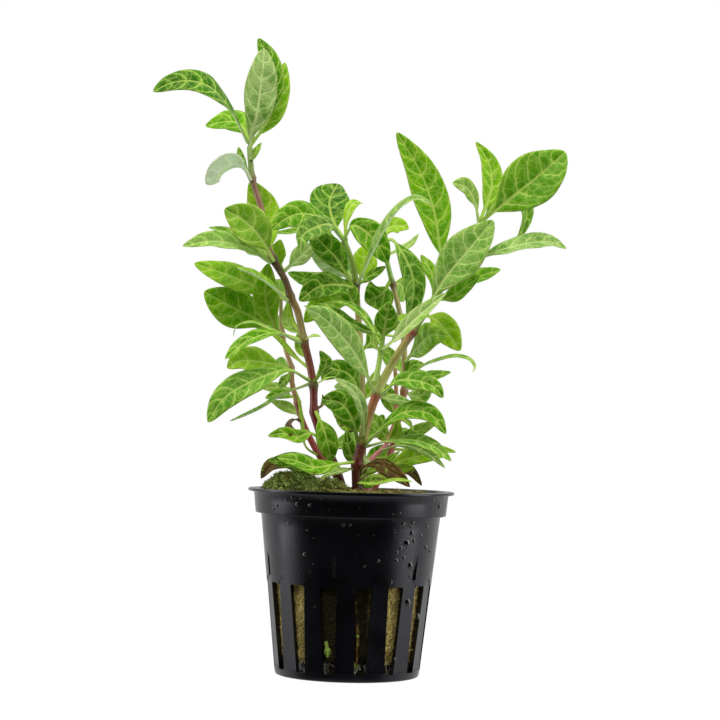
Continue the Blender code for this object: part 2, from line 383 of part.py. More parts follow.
def smooth_route(points, count):
    """Points at equal steps along a smooth curve through the given ones."""
    pts = np.array(points, float)
    padded = np.vstack([2 * pts[0] - pts[1], pts, 2 * pts[-1] - pts[-2]])
    knots = np.concatenate([[0], np.cumsum(np.linalg.norm(np.diff(padded, axis=0), axis=1) ** 0.5)])
    dense = []
    for i in range(1, len(padded) - 2):
        k0, k1, k2, k3 = knots[i - 1:i + 3]
        p0, p1, p2, p3 = padded[i - 1:i + 3]
        for s in np.linspace(k1, k2, 24, endpoint=False):
            a1 = (k1 - s) / (k1 - k0) * p0 + (s - k0) / (k1 - k0) * p1
            a2 = (k2 - s) / (k2 - k1) * p1 + (s - k1) / (k2 - k1) * p2
            a3 = (k3 - s) / (k3 - k2) * p2 + (s - k2) / (k3 - k2) * p3
            b1 = (k2 - s) / (k2 - k0) * a1 + (s - k0) / (k2 - k0) * a2
            b2 = (k3 - s) / (k3 - k1) * a2 + (s - k1) / (k3 - k1) * a3
            dense.append((k2 - s) / (k2 - k1) * b1 + (s - k1) / (k2 - k1) * b2)
    dense.append(padded[-2])
    dense = np.array(dense)
    run = np.concatenate([[0], np.cumsum(np.linalg.norm(np.diff(dense, axis=0), axis=1))])
    wanted = np.linspace(0, run[-1], count)
    return np.stack([np.interp(wanted, run, dense[:, i]) for i in range(3)], axis=1)


def carried_sideways(tangents, start, first):
    """Carry a side direction along a route from one of its points, without twisting it."""
    sides = np.zeros_like(tangents)
    sides[start] = first - tangents[start] * np.dot(first, tangents[start])
    for order in (range(start + 1, len(tangents)), range(start - 1, -1, -1)):
        last = sides[start]
        for i in order:
            last = last - tangents[i] * np.dot(last, tangents[i])
            last = last / np.linalg.norm(last)
            sides[i] = last
    return unit(sides)


class Stem:
    """A stem's centre line with its radius, swollen at the nodes."""

    def __init__(self, name):
        self.name = name
        foot, top, route, self.nodes = STEMS[name]
        self.line = smooth_route([seen(*p) for p in route], max(9, int(len(route) * 1.5)))
        fine = smooth_route([seen(*p) for p in route], ROUTE_STEPS)
        self.fine = fine
        share = np.linspace(0, 1, ROUTE_STEPS)
        self.fine_radius = foot + (top - foot) * share
        for height in self.nodes:
            self.fine_radius += NODE_SWELLING * foot * np.exp(-((fine[:, 2] - height) / NODE_LENGTH) ** 2)

    def radius_at(self, points):
        near = [np.argmin(np.linalg.norm(self.fine - p, axis=1)) for p in points]
        return self.fine_radius[near]

    def solid(self, name, extra=0.0, sides=STEM_SIDES):
        """The stem as a closed tube, thicker by extra for the socket it stands in."""
        line = self.line.copy()
        if self.name != "side_shoot":
            line[0, 2] -= SOCKET_DEPTH + extra
        tangents = unit(np.gradient(line, axis=0))
        across = carried_sideways(tangents, 0, np.array([1.0, 0.0, 0.0]))
        other = np.cross(tangents, across)
        radii = self.radius_at(line) + extra
        points, faces = [], []
        for centre, a, b, r in zip(line, across, other, radii):
            for k in range(sides):
                turn = 2 * math.pi * k / sides
                points.append(centre + r * (math.cos(turn) * a + math.sin(turn) * b))
        for ring in range(len(line) - 1):
            for k in range(sides):
                low, next_low = ring * sides + k, ring * sides + (k + 1) % sides
                faces.append((low, next_low, next_low + sides, low + sides))
        faces.append(tuple(range(sides)))
        faces.append(tuple(range(len(points) - sides, len(points))))
        return add_mesh(name, points, faces, "stem")


class Leaf:
    """A leaf as a surface around its midrib: a narrow stalk, then a blade that tapers to the tip."""

    def __init__(self, index, stem, width, facing, route, fused):
        self.stem, self.width, self.facing, self.route = stem, width, facing, route
        self.fused = fused
        self.fold = math.radians(LEAST_FOLD_DEG + FOLD_SPREAD_DEG * ((index * 0.618) % 1))
        self.widest = 0.44 + 0.12 * ((index * 0.382) % 1)
        self.push = 0.0
        self.layer = route[len(route) // 2][2]

    def controls(self):
        """The route's points in space, the first on the stem and the rest moved by the push."""
        shares = np.linspace(0, 1, len(self.route))
        pts = [seen(x, z, d + self.push * s) for (x, z, d), s in zip(self.route, shares)]
        nearest = np.argmin(np.linalg.norm(self.stem.fine - pts[0], axis=1))
        axis_point = self.stem.fine[nearest]
        if self.fused:
            pts[0] = self.stem.fine[min(nearest, ROUTE_STEPS - 6)]
        else:
            after, before = min(nearest + 1, ROUTE_STEPS - 1), max(nearest - 1, 0)
            along = unit(self.stem.fine[after] - self.stem.fine[before])
            out = pts[1] - axis_point
            if nearest < ROUTE_STEPS - 3:
                out = out - along * np.dot(out, along)
            pts[0] = axis_point + unit(out) * (self.stem.fine_radius[nearest] * 1.06 + GAP)
        return pts

    def surface(self, stations):
        """Midrib points, side and upper directions and half widths at shares of the length."""
        fine = smooth_route(self.controls(), LEAF_STEPS + 1)
        middle = LEAF_STEPS // 2
        tangents = unit(np.gradient(fine, axis=0))
        chord = fine[-1] - fine[0]
        across = unit(np.array([-chord[2], 0.0, chord[0]]))
        sides = carried_sideways(tangents, middle, across)
        normals = np.cross(sides, tangents)
        if normals[middle][1] > 0:
            normals = -normals
        upright = abs(sides[middle][2]) < 0.35
        sign = np.sign(sides[middle][0] if upright else sides[middle][2]) or 1.0
        turns = np.radians(np.linspace(self.facing[0], self.facing[1], LEAF_STEPS + 1))[:, None]
        upper = np.cos(turns) * normals + np.sin(turns) * sides * sign
        lateral = np.cross(upper, tangents)
        stations = np.asarray(stations)
        at = stations * LEAF_STEPS

        def pick(values):
            return np.stack([np.interp(at, np.arange(LEAF_STEPS + 1), values[:, i]) for i in range(3)], axis=1)

        blade = np.clip((stations - PETIOLE_SHARE) / (1 - PETIOLE_SHARE), 0, 1)
        rise = math.log(0.5) / math.log(self.widest)
        fullness = BLADE_FULLNESS - TIP_BLUNTNESS * blade ** 2
        half = self.width / 2 * np.sin(math.pi * blade ** rise) ** fullness
        stalk = min(STALK_HALF_WIDTH, 0.3 * self.width) * (1 - 0.6 * stations)
        half = np.where(stations < 0.8, np.maximum(half, stalk), half)
        return pick(fine), unit(pick(lateral)), unit(pick(upper)), half

    def samples(self):
        """Points spread over the blade with the share of the length that each lies at."""
        stations = np.linspace(0.08, 1, 15)
        rib, lateral, upper, half = self.surface(stations)
        points, shares = [], []
        for across in (-1, -0.5, 0, 0.5, 1):
            width = (half * across)[:, None]
            points.append(rib + lateral * width * math.cos(self.fold)
                          + upper * np.abs(width) * math.sin(self.fold))
            shares.append(stations)
        return np.vstack(points), np.concatenate(shares)

    def solid(self, name):
        """The leaf as a closed lens: margins left and right, ribs above and below."""
        length = np.sum(np.linalg.norm(np.diff(np.array(self.controls()), axis=0), axis=1))
        rings = int(np.clip(round(length / STATION_SPACING), 3, 8))
        stations = np.linspace(0, 1, rings + 2)
        stations = 0.5 * stations + 0.5 * (0.5 - 0.5 * np.cos(math.pi * stations))
        rib, lateral, upper, half = self.surface(stations)
        thick = (LEAF_THICKNESS if self.width > SMALL_LEAF_WIDTH else SMALL_LEAF_THICKNESS) / 2
        points = [rib[0]]
        for i in range(1, rings + 1):
            lift = upper[i] * half[i] * math.sin(self.fold)
            reach = lateral[i] * half[i] * math.cos(self.fold)
            points += [rib[i] + reach + lift, rib[i] + upper[i] * thick,
                       rib[i] - reach + lift, rib[i] - upper[i] * thick]
        points.append(rib[-1])
        faces = []
        last = len(points) - 1
        for k in range(4):
            following = (k + 1) % 4
            faces.append((0, 1 + k, 1 + following))
            faces.append((last, last - 4 + following, last - 4 + k))
            for ring in range(rings - 1):
                low = 1 + ring * 4
                here, there = low + k, low + 4 + k
                other_here, other_there = low + following, low + 4 + following
                if (np.linalg.norm(points[here] - points[other_there])
                        < np.linalg.norm(points[there] - points[other_here])):
                    faces += [(here, there, other_there), (here, other_there, other_here)]
                else:
                    faces += [(here, there, other_here), (there, other_there, other_here)]
        return add_mesh(name, points, faces, "leaf")


def spread(leaves, stems):
    """Push leaves that meet in the front view apart in depth, in the order of their given depths."""
    obstacles = [(stem, stem.fine[::3], stem.fine_radius[::3]) for stem in stems.values()]
    for _ in range(SPREAD_ROUNDS):
        sampled = [leaf.samples() for leaf in leaves]
        lows = np.array([points.min(axis=0) for points, _ in sampled]) - 1.0
        highs = np.array([points.max(axis=0) for points, _ in sampled]) + 1.0
        moves = np.zeros(len(leaves))
        for i, first in enumerate(leaves):
            near_boxes = np.all((lows[i, [0, 2]] < highs[i + 1:][:, [0, 2]])
                                & (highs[i, [0, 2]] > lows[i + 1:][:, [0, 2]]), axis=1)
            for j in i + 1 + np.nonzero(near_boxes)[0]:
                front, back = (i, j) if first.layer <= leaves[j].layer else (j, i)
                points_a, shares_a = sampled[front]
                points_b, shares_b = sampled[back]
                flat = np.linalg.norm(points_a[:, None, [0, 2]] - points_b[None, :, [0, 2]], axis=2)
                room = points_b[None, :, 1] - points_a[:, None, 1]
                lack = np.where(flat < MEETING_REACH, CLEARANCE - room, -1.0)
                at_base = (shares_a[:, None] < SHARED_BASE) & (shares_b[None, :] < SHARED_BASE)
                lack = np.where(at_base & (first.stem is leaves[j].stem), -1.0, lack)
                a, b = np.unravel_index(np.argmax(lack), lack.shape)
                if lack[a, b] > 0:
                    step = min(lack[a, b], LONGEST_STEP) * 0.5
                    weight_a, weight_b = shares_a[a], shares_b[b]
                    total = weight_a + weight_b
                    moves[front] -= step * weight_a / total
                    moves[back] += step * weight_b / total
            points, shares = sampled[i]
            for stem, line, radius in obstacles:
                flat = np.linalg.norm(points[:, None, [0, 2]] - line[None, :, [0, 2]], axis=2)
                depth = line[None, :, 1] - points[:, None, 1]
                behind = np.sign(first.layer - np.interp(points[:, 2].mean(), line[:, 2], line[:, 1])) or 1.0
                needed = radius[None, :] + 1.0
                lack = np.where(flat < radius[None, :] + 1.0, needed + behind * depth, -1.0)
                if stem is first.stem:
                    lack = np.where(shares[:, None] < OWN_STEM_BASE, -1.0, lack)
                a, b = np.unravel_index(np.argmax(lack), lack.shape)
                if lack[a, b] > 0:
                    moves[i] += behind * min(lack[a, b], LONGEST_STEP) * 0.5
        if not moves.any():
            break
        for leaf, move in zip(leaves, moves):
            leaf.push += float(np.clip(move, -LONGEST_PUSH, LONGEST_PUSH))


def ring_mesh(profile, segments):
    """Points and faces of a profile of (radius, height) turned about Z, with its ends on the axis."""
    points, faces, rows = [], [], []
    for radius, height in profile:
        if radius == 0:
            points.append((0.0, 0.0, height))
            rows.append([len(points) - 1] * segments)
            continue
        start = len(points)
        for k in range(segments):
            turn = 2 * math.pi * k / segments
            points.append((radius * math.cos(turn), radius * math.sin(turn), height))
        rows.append(list(range(start, start + segments)))
    for low, high in zip(rows, rows[1:]):
        for k in range(segments):
            corners = [low[k], low[(k + 1) % segments], high[(k + 1) % segments], high[k]]
            faces.append(tuple(dict.fromkeys(corners)))
    return points, faces


def wall_radius(height):
    """Outer radius of the tapered wall below the collar."""
    return BASE_RADIUS + (WALL_TOP_RADIUS - BASE_RADIUS) * height / WALL_TOP


def make_pot():
    """The net pot: a tapered cup with a collar and lip, slots round the wall and in the floor."""
    inner_top = WALL_TOP_RADIUS - WALL
    collar_inner = COLLAR_TOP_RADIUS - WALL
    profile = [(0, 0), (BASE_RADIUS - BASE_CORNER, 0), (BASE_RADIUS, BASE_CORNER), (WALL_TOP_RADIUS, WALL_TOP),
               (COLLAR_BOTTOM_RADIUS, WALL_TOP), (COLLAR_TOP_RADIUS, POT_HEIGHT - LIP_THICKNESS),
               (LIP_RADIUS, POT_HEIGHT - LIP_THICKNESS), (LIP_RADIUS, POT_HEIGHT),
               (collar_inner, POT_HEIGHT), (COLLAR_BOTTOM_RADIUS - WALL, WALL_TOP + WALL),
               (inner_top, WALL_TOP), (BASE_RADIUS - WALL, FLOOR), (0, FLOOR)]
    pot = add_mesh("net_pot", *ring_mesh(profile, POT_SEGMENTS), "net_pot")
    for k in range(SLOT_COUNT):
        turn = math.radians(SLOT_FIRST_DEG + k * 360 / SLOT_COUNT)
        outward = np.array([math.sin(turn), -math.cos(turn), 0])
        along = np.array([math.cos(turn), math.sin(turn), 0])
        foot, head, corner = SLOT_BOTTOM_WIDTH / 2, SLOT_TOP_WIDTH / 2, SLOT_CORNER
        outline = [(-foot, SLOT_BOTTOM), (foot, SLOT_BOTTOM), (head, SLOT_TOP - corner),
                   (head - corner, SLOT_TOP), (corner - head, SLOT_TOP), (-head, SLOT_TOP - corner)]
        cut(pot, radial_prism(f"slot_cutter_{k}", outline, outward, along, SLOT_CUT_FROM, SLOT_CUT_TO))
    for k in range(FLOOR_SLOTS):
        turn = math.radians(k * 360 / FLOOR_SLOTS)
        outward = np.array([math.sin(turn), -math.cos(turn), 0])
        along = np.array([math.cos(turn), math.sin(turn), 0])
        side = FLOOR_SLOT_WIDTH / 2
        outline = [(-side, -1.0), (side, -1.0), (side, FLOOR + 1.0), (-side, FLOOR + 1.0)]
        cut(pot, radial_prism(f"floor_cutter_{k}", outline, outward, along, FLOOR_SLOT_INNER,
                              FLOOR_SLOT_OUTER))
    return pot


def radial_prism(name, outline, outward, along, inner, outer):
    """A prism with an outline of (sideways, height), running outward from one radius to another."""
    points = [outward * reach + along * side + np.array([0, 0, height])
              for reach in (inner, outer) for side, height in outline]
    count = len(outline)
    faces = [tuple(range(count)), tuple(range(2 * count - 1, count - 1, -1))]
    for k in range(count):
        following = (k + 1) % count
        faces.append((k, count + k, count + following, following))
    return add_mesh(name, points, faces, "net_pot")


def make_wool(stems):
    """The plug of rock wool that fills the pot, with a socket for each stem."""
    def inside(height):
        return wall_radius(height) - WALL - GAP

    profile = [(0, WOOL_BOTTOM), (inside(WOOL_BOTTOM) - 1.5, WOOL_BOTTOM),
               (inside(WOOL_BOTTOM) - 0.2, WOOL_BOTTOM + 1.2), (inside(24), 24.0),
               (inside(WALL_TOP) - 0.2, WALL_TOP - 0.2), (inside(WALL_TOP) - 0.2, WOOL_TOP - 1.0),
               (inside(WALL_TOP) - 1.2, WOOL_TOP - 0.2), (15.0, WOOL_TOP), (8.0, WOOL_TOP),
               (0, WOOL_TOP)]
    points, faces = ring_mesh(profile, WOOL_SEGMENTS)
    lumpy = []
    for x, y, z in points:
        if z > WOOL_TOP - 0.1:
            z += WOOL_LUMP * math.sin(0.55 * x + 0.8) * math.cos(0.47 * y - 0.6)
            for centre_x, centre_y, half_x, half_y, rise in LUMPS:
                spread_out = ((x - centre_x) / half_x) ** 2 + ((y - centre_y) / half_y) ** 2
                z += rise * math.exp(-spread_out)
        lumpy.append((x, y, z))
    wool = add_mesh("rock_wool", lumpy, faces, "rock_wool")
    for name, stem in stems.items():
        if name != "side_shoot":
            cut(wool, stem.solid(f"{name}_socket", GAP))
    return wool


def make_mound():
    """The mossy mound on the left of the wool."""
    rings = [(1.0, 0.0), (0.92, 0.45), (0.7, 0.78), (0.4, 0.95)]
    base = WOOL_TOP + WOOL_LUMP + GAP
    points, faces = [], []
    segments = MOUND_SEGMENTS
    for share, rise in rings:
        for k in range(segments):
            turn = 2 * math.pi * k / segments
            wobble = 1 + 0.06 * math.sin(3 * turn + 1) + 0.04 * math.sin(5 * turn)
            height = base + MOUND_HEIGHT * rise * (1 + 0.12 * math.sin(2 * turn + 4 * share))
            points.append((MOUND_CENTRE[0] + MOUND_HALF[0] * share * wobble * math.cos(turn),
                           MOUND_CENTRE[1] + MOUND_HALF[1] * share * wobble * math.sin(turn),
                           base if rise == 0 else height))
    points.append((*MOUND_CENTRE, base + MOUND_HEIGHT))
    for ring in range(len(rings) - 1):
        for k in range(segments):
            low, following = ring * segments + k, ring * segments + (k + 1) % segments
            faces.append((low, following, following + segments, low + segments))
    top = len(points) - 1
    last = (len(rings) - 1) * segments
    for k in range(segments):
        faces.append((last + k, last + (k + 1) % segments, top))
    faces.append(tuple(range(segments)))
    return add_mesh("moss_mound", points, faces, "moss_mound")


def make_plant():
    """Stems with their small leaves fused on, and each larger leaf as its own piece."""
    stems = {name: Stem(name) for name in STEMS}
    own = [Leaf(i, stems[row[1]], *row[2:], False) for i, row in enumerate(LEAVES)]
    small = [Leaf(i + 7, stems[row[0]], *row[1:], True) for i, row in enumerate(SMALL_LEAVES)]
    spread(own + small, stems)
    for row, leaf in zip(LEAVES, own):
        leaf.solid(row[0])
    for name, stem in stems.items():
        body = stem.solid(name)
        for i, leaf in enumerate(small):
            if leaf.stem is stem:
                cut(body, leaf.solid(f"small_leaf_{i}"), "UNION")
    return stems


def main():
    clear_scene()
    make_pot()
    stems = make_plant()
    make_wool(stems)
    make_mound()


main()
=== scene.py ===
"""Looks of the potted hygrophila: fine leaves, stems, rock wool, moss and the finished net pot.

Lengths are millimetres until a mesh is made. Places on the plant are (x, z, depth), as in the
model: x and z are read in the front view on the plane of the pot's axis, and depth is how far
behind that plane the point lies.
"""
import math

import bmesh
import bpy
import numpy as np
from mathutils import Matrix, Vector


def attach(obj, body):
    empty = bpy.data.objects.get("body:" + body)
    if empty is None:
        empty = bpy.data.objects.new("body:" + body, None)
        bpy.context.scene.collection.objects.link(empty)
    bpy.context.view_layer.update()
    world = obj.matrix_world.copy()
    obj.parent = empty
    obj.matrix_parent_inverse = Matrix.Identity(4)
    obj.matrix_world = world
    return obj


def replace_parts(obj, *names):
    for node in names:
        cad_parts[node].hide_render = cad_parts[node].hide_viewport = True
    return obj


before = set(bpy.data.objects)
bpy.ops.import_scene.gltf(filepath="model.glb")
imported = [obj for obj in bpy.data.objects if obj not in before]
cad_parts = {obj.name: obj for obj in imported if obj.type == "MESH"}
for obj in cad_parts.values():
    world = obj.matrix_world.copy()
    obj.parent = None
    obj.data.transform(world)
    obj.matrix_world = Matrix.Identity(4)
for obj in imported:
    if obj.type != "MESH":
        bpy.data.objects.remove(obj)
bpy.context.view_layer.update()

MM = 0.001
SEED = 7

# Front view: place, rise and roll of the camera, and its lens
EYE = np.array([1.4, -535.0, 63.8])
CAMERA_RISE_DEG = 2.14
CAMERA_ROLL_DEG = 1.48
LENS_MM = 100.0
SENSOR_MM = 36.0

# Net pot
POT_HEIGHT = 49.1
BASE_RADIUS = 19.2
WALL_TOP_RADIUS = 23.9
WALL_TOP = 42.6
COLLAR_BOTTOM_RADIUS = 25.4
COLLAR_TOP_RADIUS = 25.9
LIP_RADIUS = 27.5
LIP_THICKNESS = 0.8
WALL = 1.1
FLOOR = 1.4
SLOT_COUNT = 15
SLOT_FIRST_DEG = 10.2
SLOT_TOP = 24.7
SLOT_BOTTOM = 2.0
SLOT_TOP_WIDTH = 4.6
SLOT_BOTTOM_WIDTH = 2.9
NOTCH_COUNT = 6
NOTCH_FIRST_DEG = -10.4
NOTCH_HEIGHTS = (26.4, 32.6)
NOTCH_DEPTHS = (0.7, 0.05)
NOTCH_WIDTH = 1.4
FLOOR_SLOTS = 6
FLOOR_SLOT_WIDTH = 3.0
FLOOR_SLOT_INNER = 6.0
FLOOR_SLOT_OUTER = 14.5
RIB_RECESS = 0.2
SLOT_CUT_FROM = 14.0
CUT_TO = 30.0
SLOT_CORNER = 0.7
POT_SIDES = 240
SHARP_EDGE_DEG = 32

# Drops on the pot
FINE_DROPS = 60
DROP_RINGS = 5
DROP_SIDES = 14
DROP_SPREAD = 1.25
DROP_BULGE = 0.62
DROP_SAG = 0.18
DROP_STRETCH = 1.12

# Rock wool and moss
GAP = 0.3
WOOL_BOTTOM = 4.6
WOOL_TOP = 48.2
WOOL_LUMP = 0.7
LUMPS = [(-7.0, -17.0, 6.2, 4.0, 3.6), (8.5, -15.0, 4.5, 4.0, 1.3)]
MOUND_CENTRE = (-15.3, -3.5)
MOUND_HALF = (8.2, 11.0)
MOUND_HEIGHT = 4.0
WOOL_SIDES = 180
WOOL_ROWS = 56
WOOL_FOOT = 5.0
WOOL_FOOT_SHARES = (0.0, 0.4, 0.75, 0.93)
WOOL_TOP_SHARES = (0.96, 0.9, 0.82, 0.74, 0.66, 0.58, 0.5, 0.42, 0.34, 0.26, 0.18, 0.1, 0.0)
WOOL_SHOULDER = 46.2
WOOL_ROUGHNESS = 0.09
# Waves round the wool: how many, climb, start and size
WOOL_WAVES = [(3, 0.35, 0, 0.35), (7, -0.5, 1, 0.3), (13, 0.9, 0, 0.2)]
STRANDS_SIDE = 14000
STRANDS_TOP = 8000
STRANDS_REACH = 24.2
STRANDS_EDGE = 22.6
STRAND_WIDTHS = (0.07, 0.16)
MOSS_SIDES = 96
MOSS_SHARES = (1.0, 1.0, 0.97, 0.92, 0.86, 0.78, 0.7, 0.6, 0.5, 0.4, 0.3, 0.2, 0.1, 0.0)
MOSS_ROUGHNESS = 0.08
MOSS_BLADES = 6000
LUMP_BLADES = 2600

# Leaves
PETIOLE_SHARE = 0.13
NODE_SWELLING = 0.22
NODE_LENGTH = 1.3
LEAF_STEPS = 60
LEAST_FOLD_DEG = 9
FOLD_SPREAD_DEG = 12
STALK_HALF_WIDTH = 0.55
BLADE_FULLNESS = 0.95
MEETING_REACH = 1.6
LONGEST_STEP = 2.0
LONGEST_PUSH = 1.5
SHARED_BASE = 0.25
OWN_STEM_BASE = 0.35
TIP_BLUNTNESS = 0.28
CLEARANCE = 1.5
ROUTE_STEPS = 160
SPREAD_ROUNDS = 60
KNOT_STEPS = 24
FOLD_TURN = 0.618
WIDEST_TURN = 0.382
WIDEST_FROM = 0.44
WIDEST_SPREAD = 0.12
BLADE_HALF_THICKNESS = 0.12
WAVE_SHARE = 0.05
WAVE_COUNTS = (1.6, 3.2)
PUCKER = 0.22
GROOVE_DEPTH = 0.1
GROOVE_WIDTH = 0.45
RIDGE_WIDTH = 0.4
VEIN_SPACING = 4.3
VEIN_PAIRS = (4, 9)
VEIN_LEAN = (0.45, 0.7)
VEIN_LOOP = (0.6, 1.0)
VEIN_STRENGTH = (0.78, 0.22)
LAST_STATION = 0.998
SLOT_BIT_FOLD = 0.2
LARGE_GRID = (45, 19)
SMALL_GRID = (25, 11)
SMALL_LEAF_SHAPES = 7
SMALL_LEAF_SEEDS = 100
SLOT_BIT_SEEDS = 200
STEM_SIDES = 20
NODE_RING_HEIGHT = 0.14
NODE_RING_LENGTH = 0.35
STEM_SUNK = 2.0

# Floor and light: brightness of the surroundings, then lamps by name, place, size and watts
FLOOR_HALF = 3000.0
FRONT_LIGHT = 0.02
SIDE_LIGHT = 0.78
TOP_LIGHT = 0.25
LAMP_AIM = (0.0, 0.0, 0.09)
LAMPS = [
    ("lamp_top", (-0.12, -0.30, 0.62), (0.35, 0.35), 2.6),
    ("lamp_left", (-0.55, -0.02, 0.16), (0.30, 0.50), 1.2),
    ("lamp_right", (0.55, -0.08, 0.16), (0.30, 0.50), 1.2),
]

# Screen colours of the leaves: dark, middle, light, vein, painted silver sheen and the veins under that
# sheen
UPPER_COLOURS = [(42, 96, 2), (93, 155, 5), (152, 199, 18), (194, 217, 104), (176, 199, 126),
                 (222, 236, 172)]
UNDER_COLOURS = [(126, 168, 84), (168, 200, 124), (206, 228, 170), (226, 240, 192), (214, 234, 200),
                 (236, 246, 214)]
WITHERED_STOPS = [(0.3, (46, 32, 16)), (0.55, (104, 80, 40)), (0.75, (164, 132, 74))]

# Screen colours of the rest
BARK_LIGHT = (214, 204, 150)
PLASTIC, SCUFFED, DUST = (4, 4, 7), (17, 17, 23), (112, 110, 104)
# Drops: the clear water is painted near-black, standing in for the dark pot seen through it
DROP_PAINTED_DARKS = (6, 6, 8), (12, 12, 15)
# Wool body and strands: a darker copy as painted shade among the fibres, a lighter copy as painted light
# on the strands
WOOL_BODY_PAINTED_SHADE = (104, 88, 42), (190, 168, 92)
STRAND_PAINTED_LIGHT = (176, 150, 70), (250, 234, 156)
# Stain and algae are the wool's own colours; the second colour is painted shade for the front middle of
# the wool.
WOOL_STAIN, WOOL_PAINTED_SHADE, WOOL_ALGAE = (58, 46, 22), (14, 8, 2), (104, 116, 56)
MOSS_STOPS = [(0.3, (46, 60, 22)), (0.48, (118, 140, 64)), (0.62, (172, 188, 102)),
              (0.8, (212, 214, 146))]
MOSS_DRY = (128, 112, 52)
ROOT_SHADES = (190, 182, 148), (250, 248, 236)

rng = np.random.default_rng(SEED)

# Stems: foot and top radius, route of (x, z, depth), heights of the nodes
STEMS = {
    "tall_stem": (1.05, 0.7, [(-2.2, 48.9, -5), (-4.6, 55.5, -6), (-7.4, 60.8, -7), (-9.6, 66.1, -7),
        (-10.5, 69.5, -7), (-10.9, 76.5, -7), (-12.0, 82.1, -7), (-13.7, 88.4, -7), (-15.8, 96.7, -6),
        (-17.5, 99.9, -6), (-19.2, 104.6, -6), (-22.3, 109.7, -6), (-24.6, 115.2, -5),
        (-26.1, 123.5, -4), (-28.7, 131.4, -4), (-29.4, 136.5, -4), (-29.8, 141.0, -4)],
        (69.5, 76.5, 88.4, 99.9, 109.7, 131.4)),
    "left_stem": (0.95, 0.4, [(-2.9, 49.0, 4), (-5.0, 54.3, 4), (-8.4, 57.5, 4), (-10.6, 61.0, 4),
        (-12.5, 64.6, 4), (-14.0, 68.1, 5), (-15.1, 72.1, 5), (-16.6, 77.1, 5), (-17.0, 81.4, 5),
        (-18.5, 85.9, 5), (-19.6, 90.5, 5), (-20.1, 96.6, 5), (-20.2, 103.3, 6), (-19.8, 106.8, 6)],
        (72.1, 81.4, 90.5)),
    "main_stem": (1.25, 0.68, [(1.5, 48.4, -7), (1.3, 55.9, -8), (2.5, 61.5, -9), (4.2, 69.1, -10),
        (6.2, 75.0, -11), (9.5, 82.1, -11), (14.9, 91.1, -11), (18.5, 97.0, -11), (22.3, 103.0, -10),
        (27.5, 109.9, -9), (31.6, 118.0, -8), (32.6, 121.5, -8)], (55.9, 61.5, 75.0, 91.1)),
    "centre_stem": (1.0, 0.7, [(2.6, 48.6, 6), (2.7, 54.3, 6), (2.3, 71.7, 6), (1.8, 81.1, 6),
        (1.0, 91.8, 6), (0.2, 99.8, 6), (-0.2, 104.4, 6), (-1.4, 109.9, 6), (-2.8, 113.6, 6),
        (-4.0, 116.3, 6)], (71.7, 104.4)),
    "right_stem": (0.95, 0.6, [(5.6, 48.8, 9), (7.6, 53.0, 10), (10.6, 60.7, 10), (12.5, 71.2, 10),
        (13.4, 76.0, 10), (13.2, 85.4, 10), (12.7, 92.1, 10), (11.2, 98.7, 10), (9.4, 105.1, 10),
        (8.0, 110.2, 9), (6.5, 115.2, 9)], (76.0, 105.1)),
    "thin_stem": (0.65, 0.5, [(4.2, 48.8, 1), (4.9, 56.8, 2), (8.7, 61.0, 4), (10.6, 65.2, 5),
        (11.4, 72.0, 5), (11.2, 77.3, 5), (10.8, 82.1, 5)], (65.2,)),
    "side_shoot": (0.75, 0.55, [(5.4, 78.0, -13.4), (6.2, 81.2, -13), (6.9, 86.0, -12.5),
        (7.4, 89.3, -12.5)], (86.0,)),
}
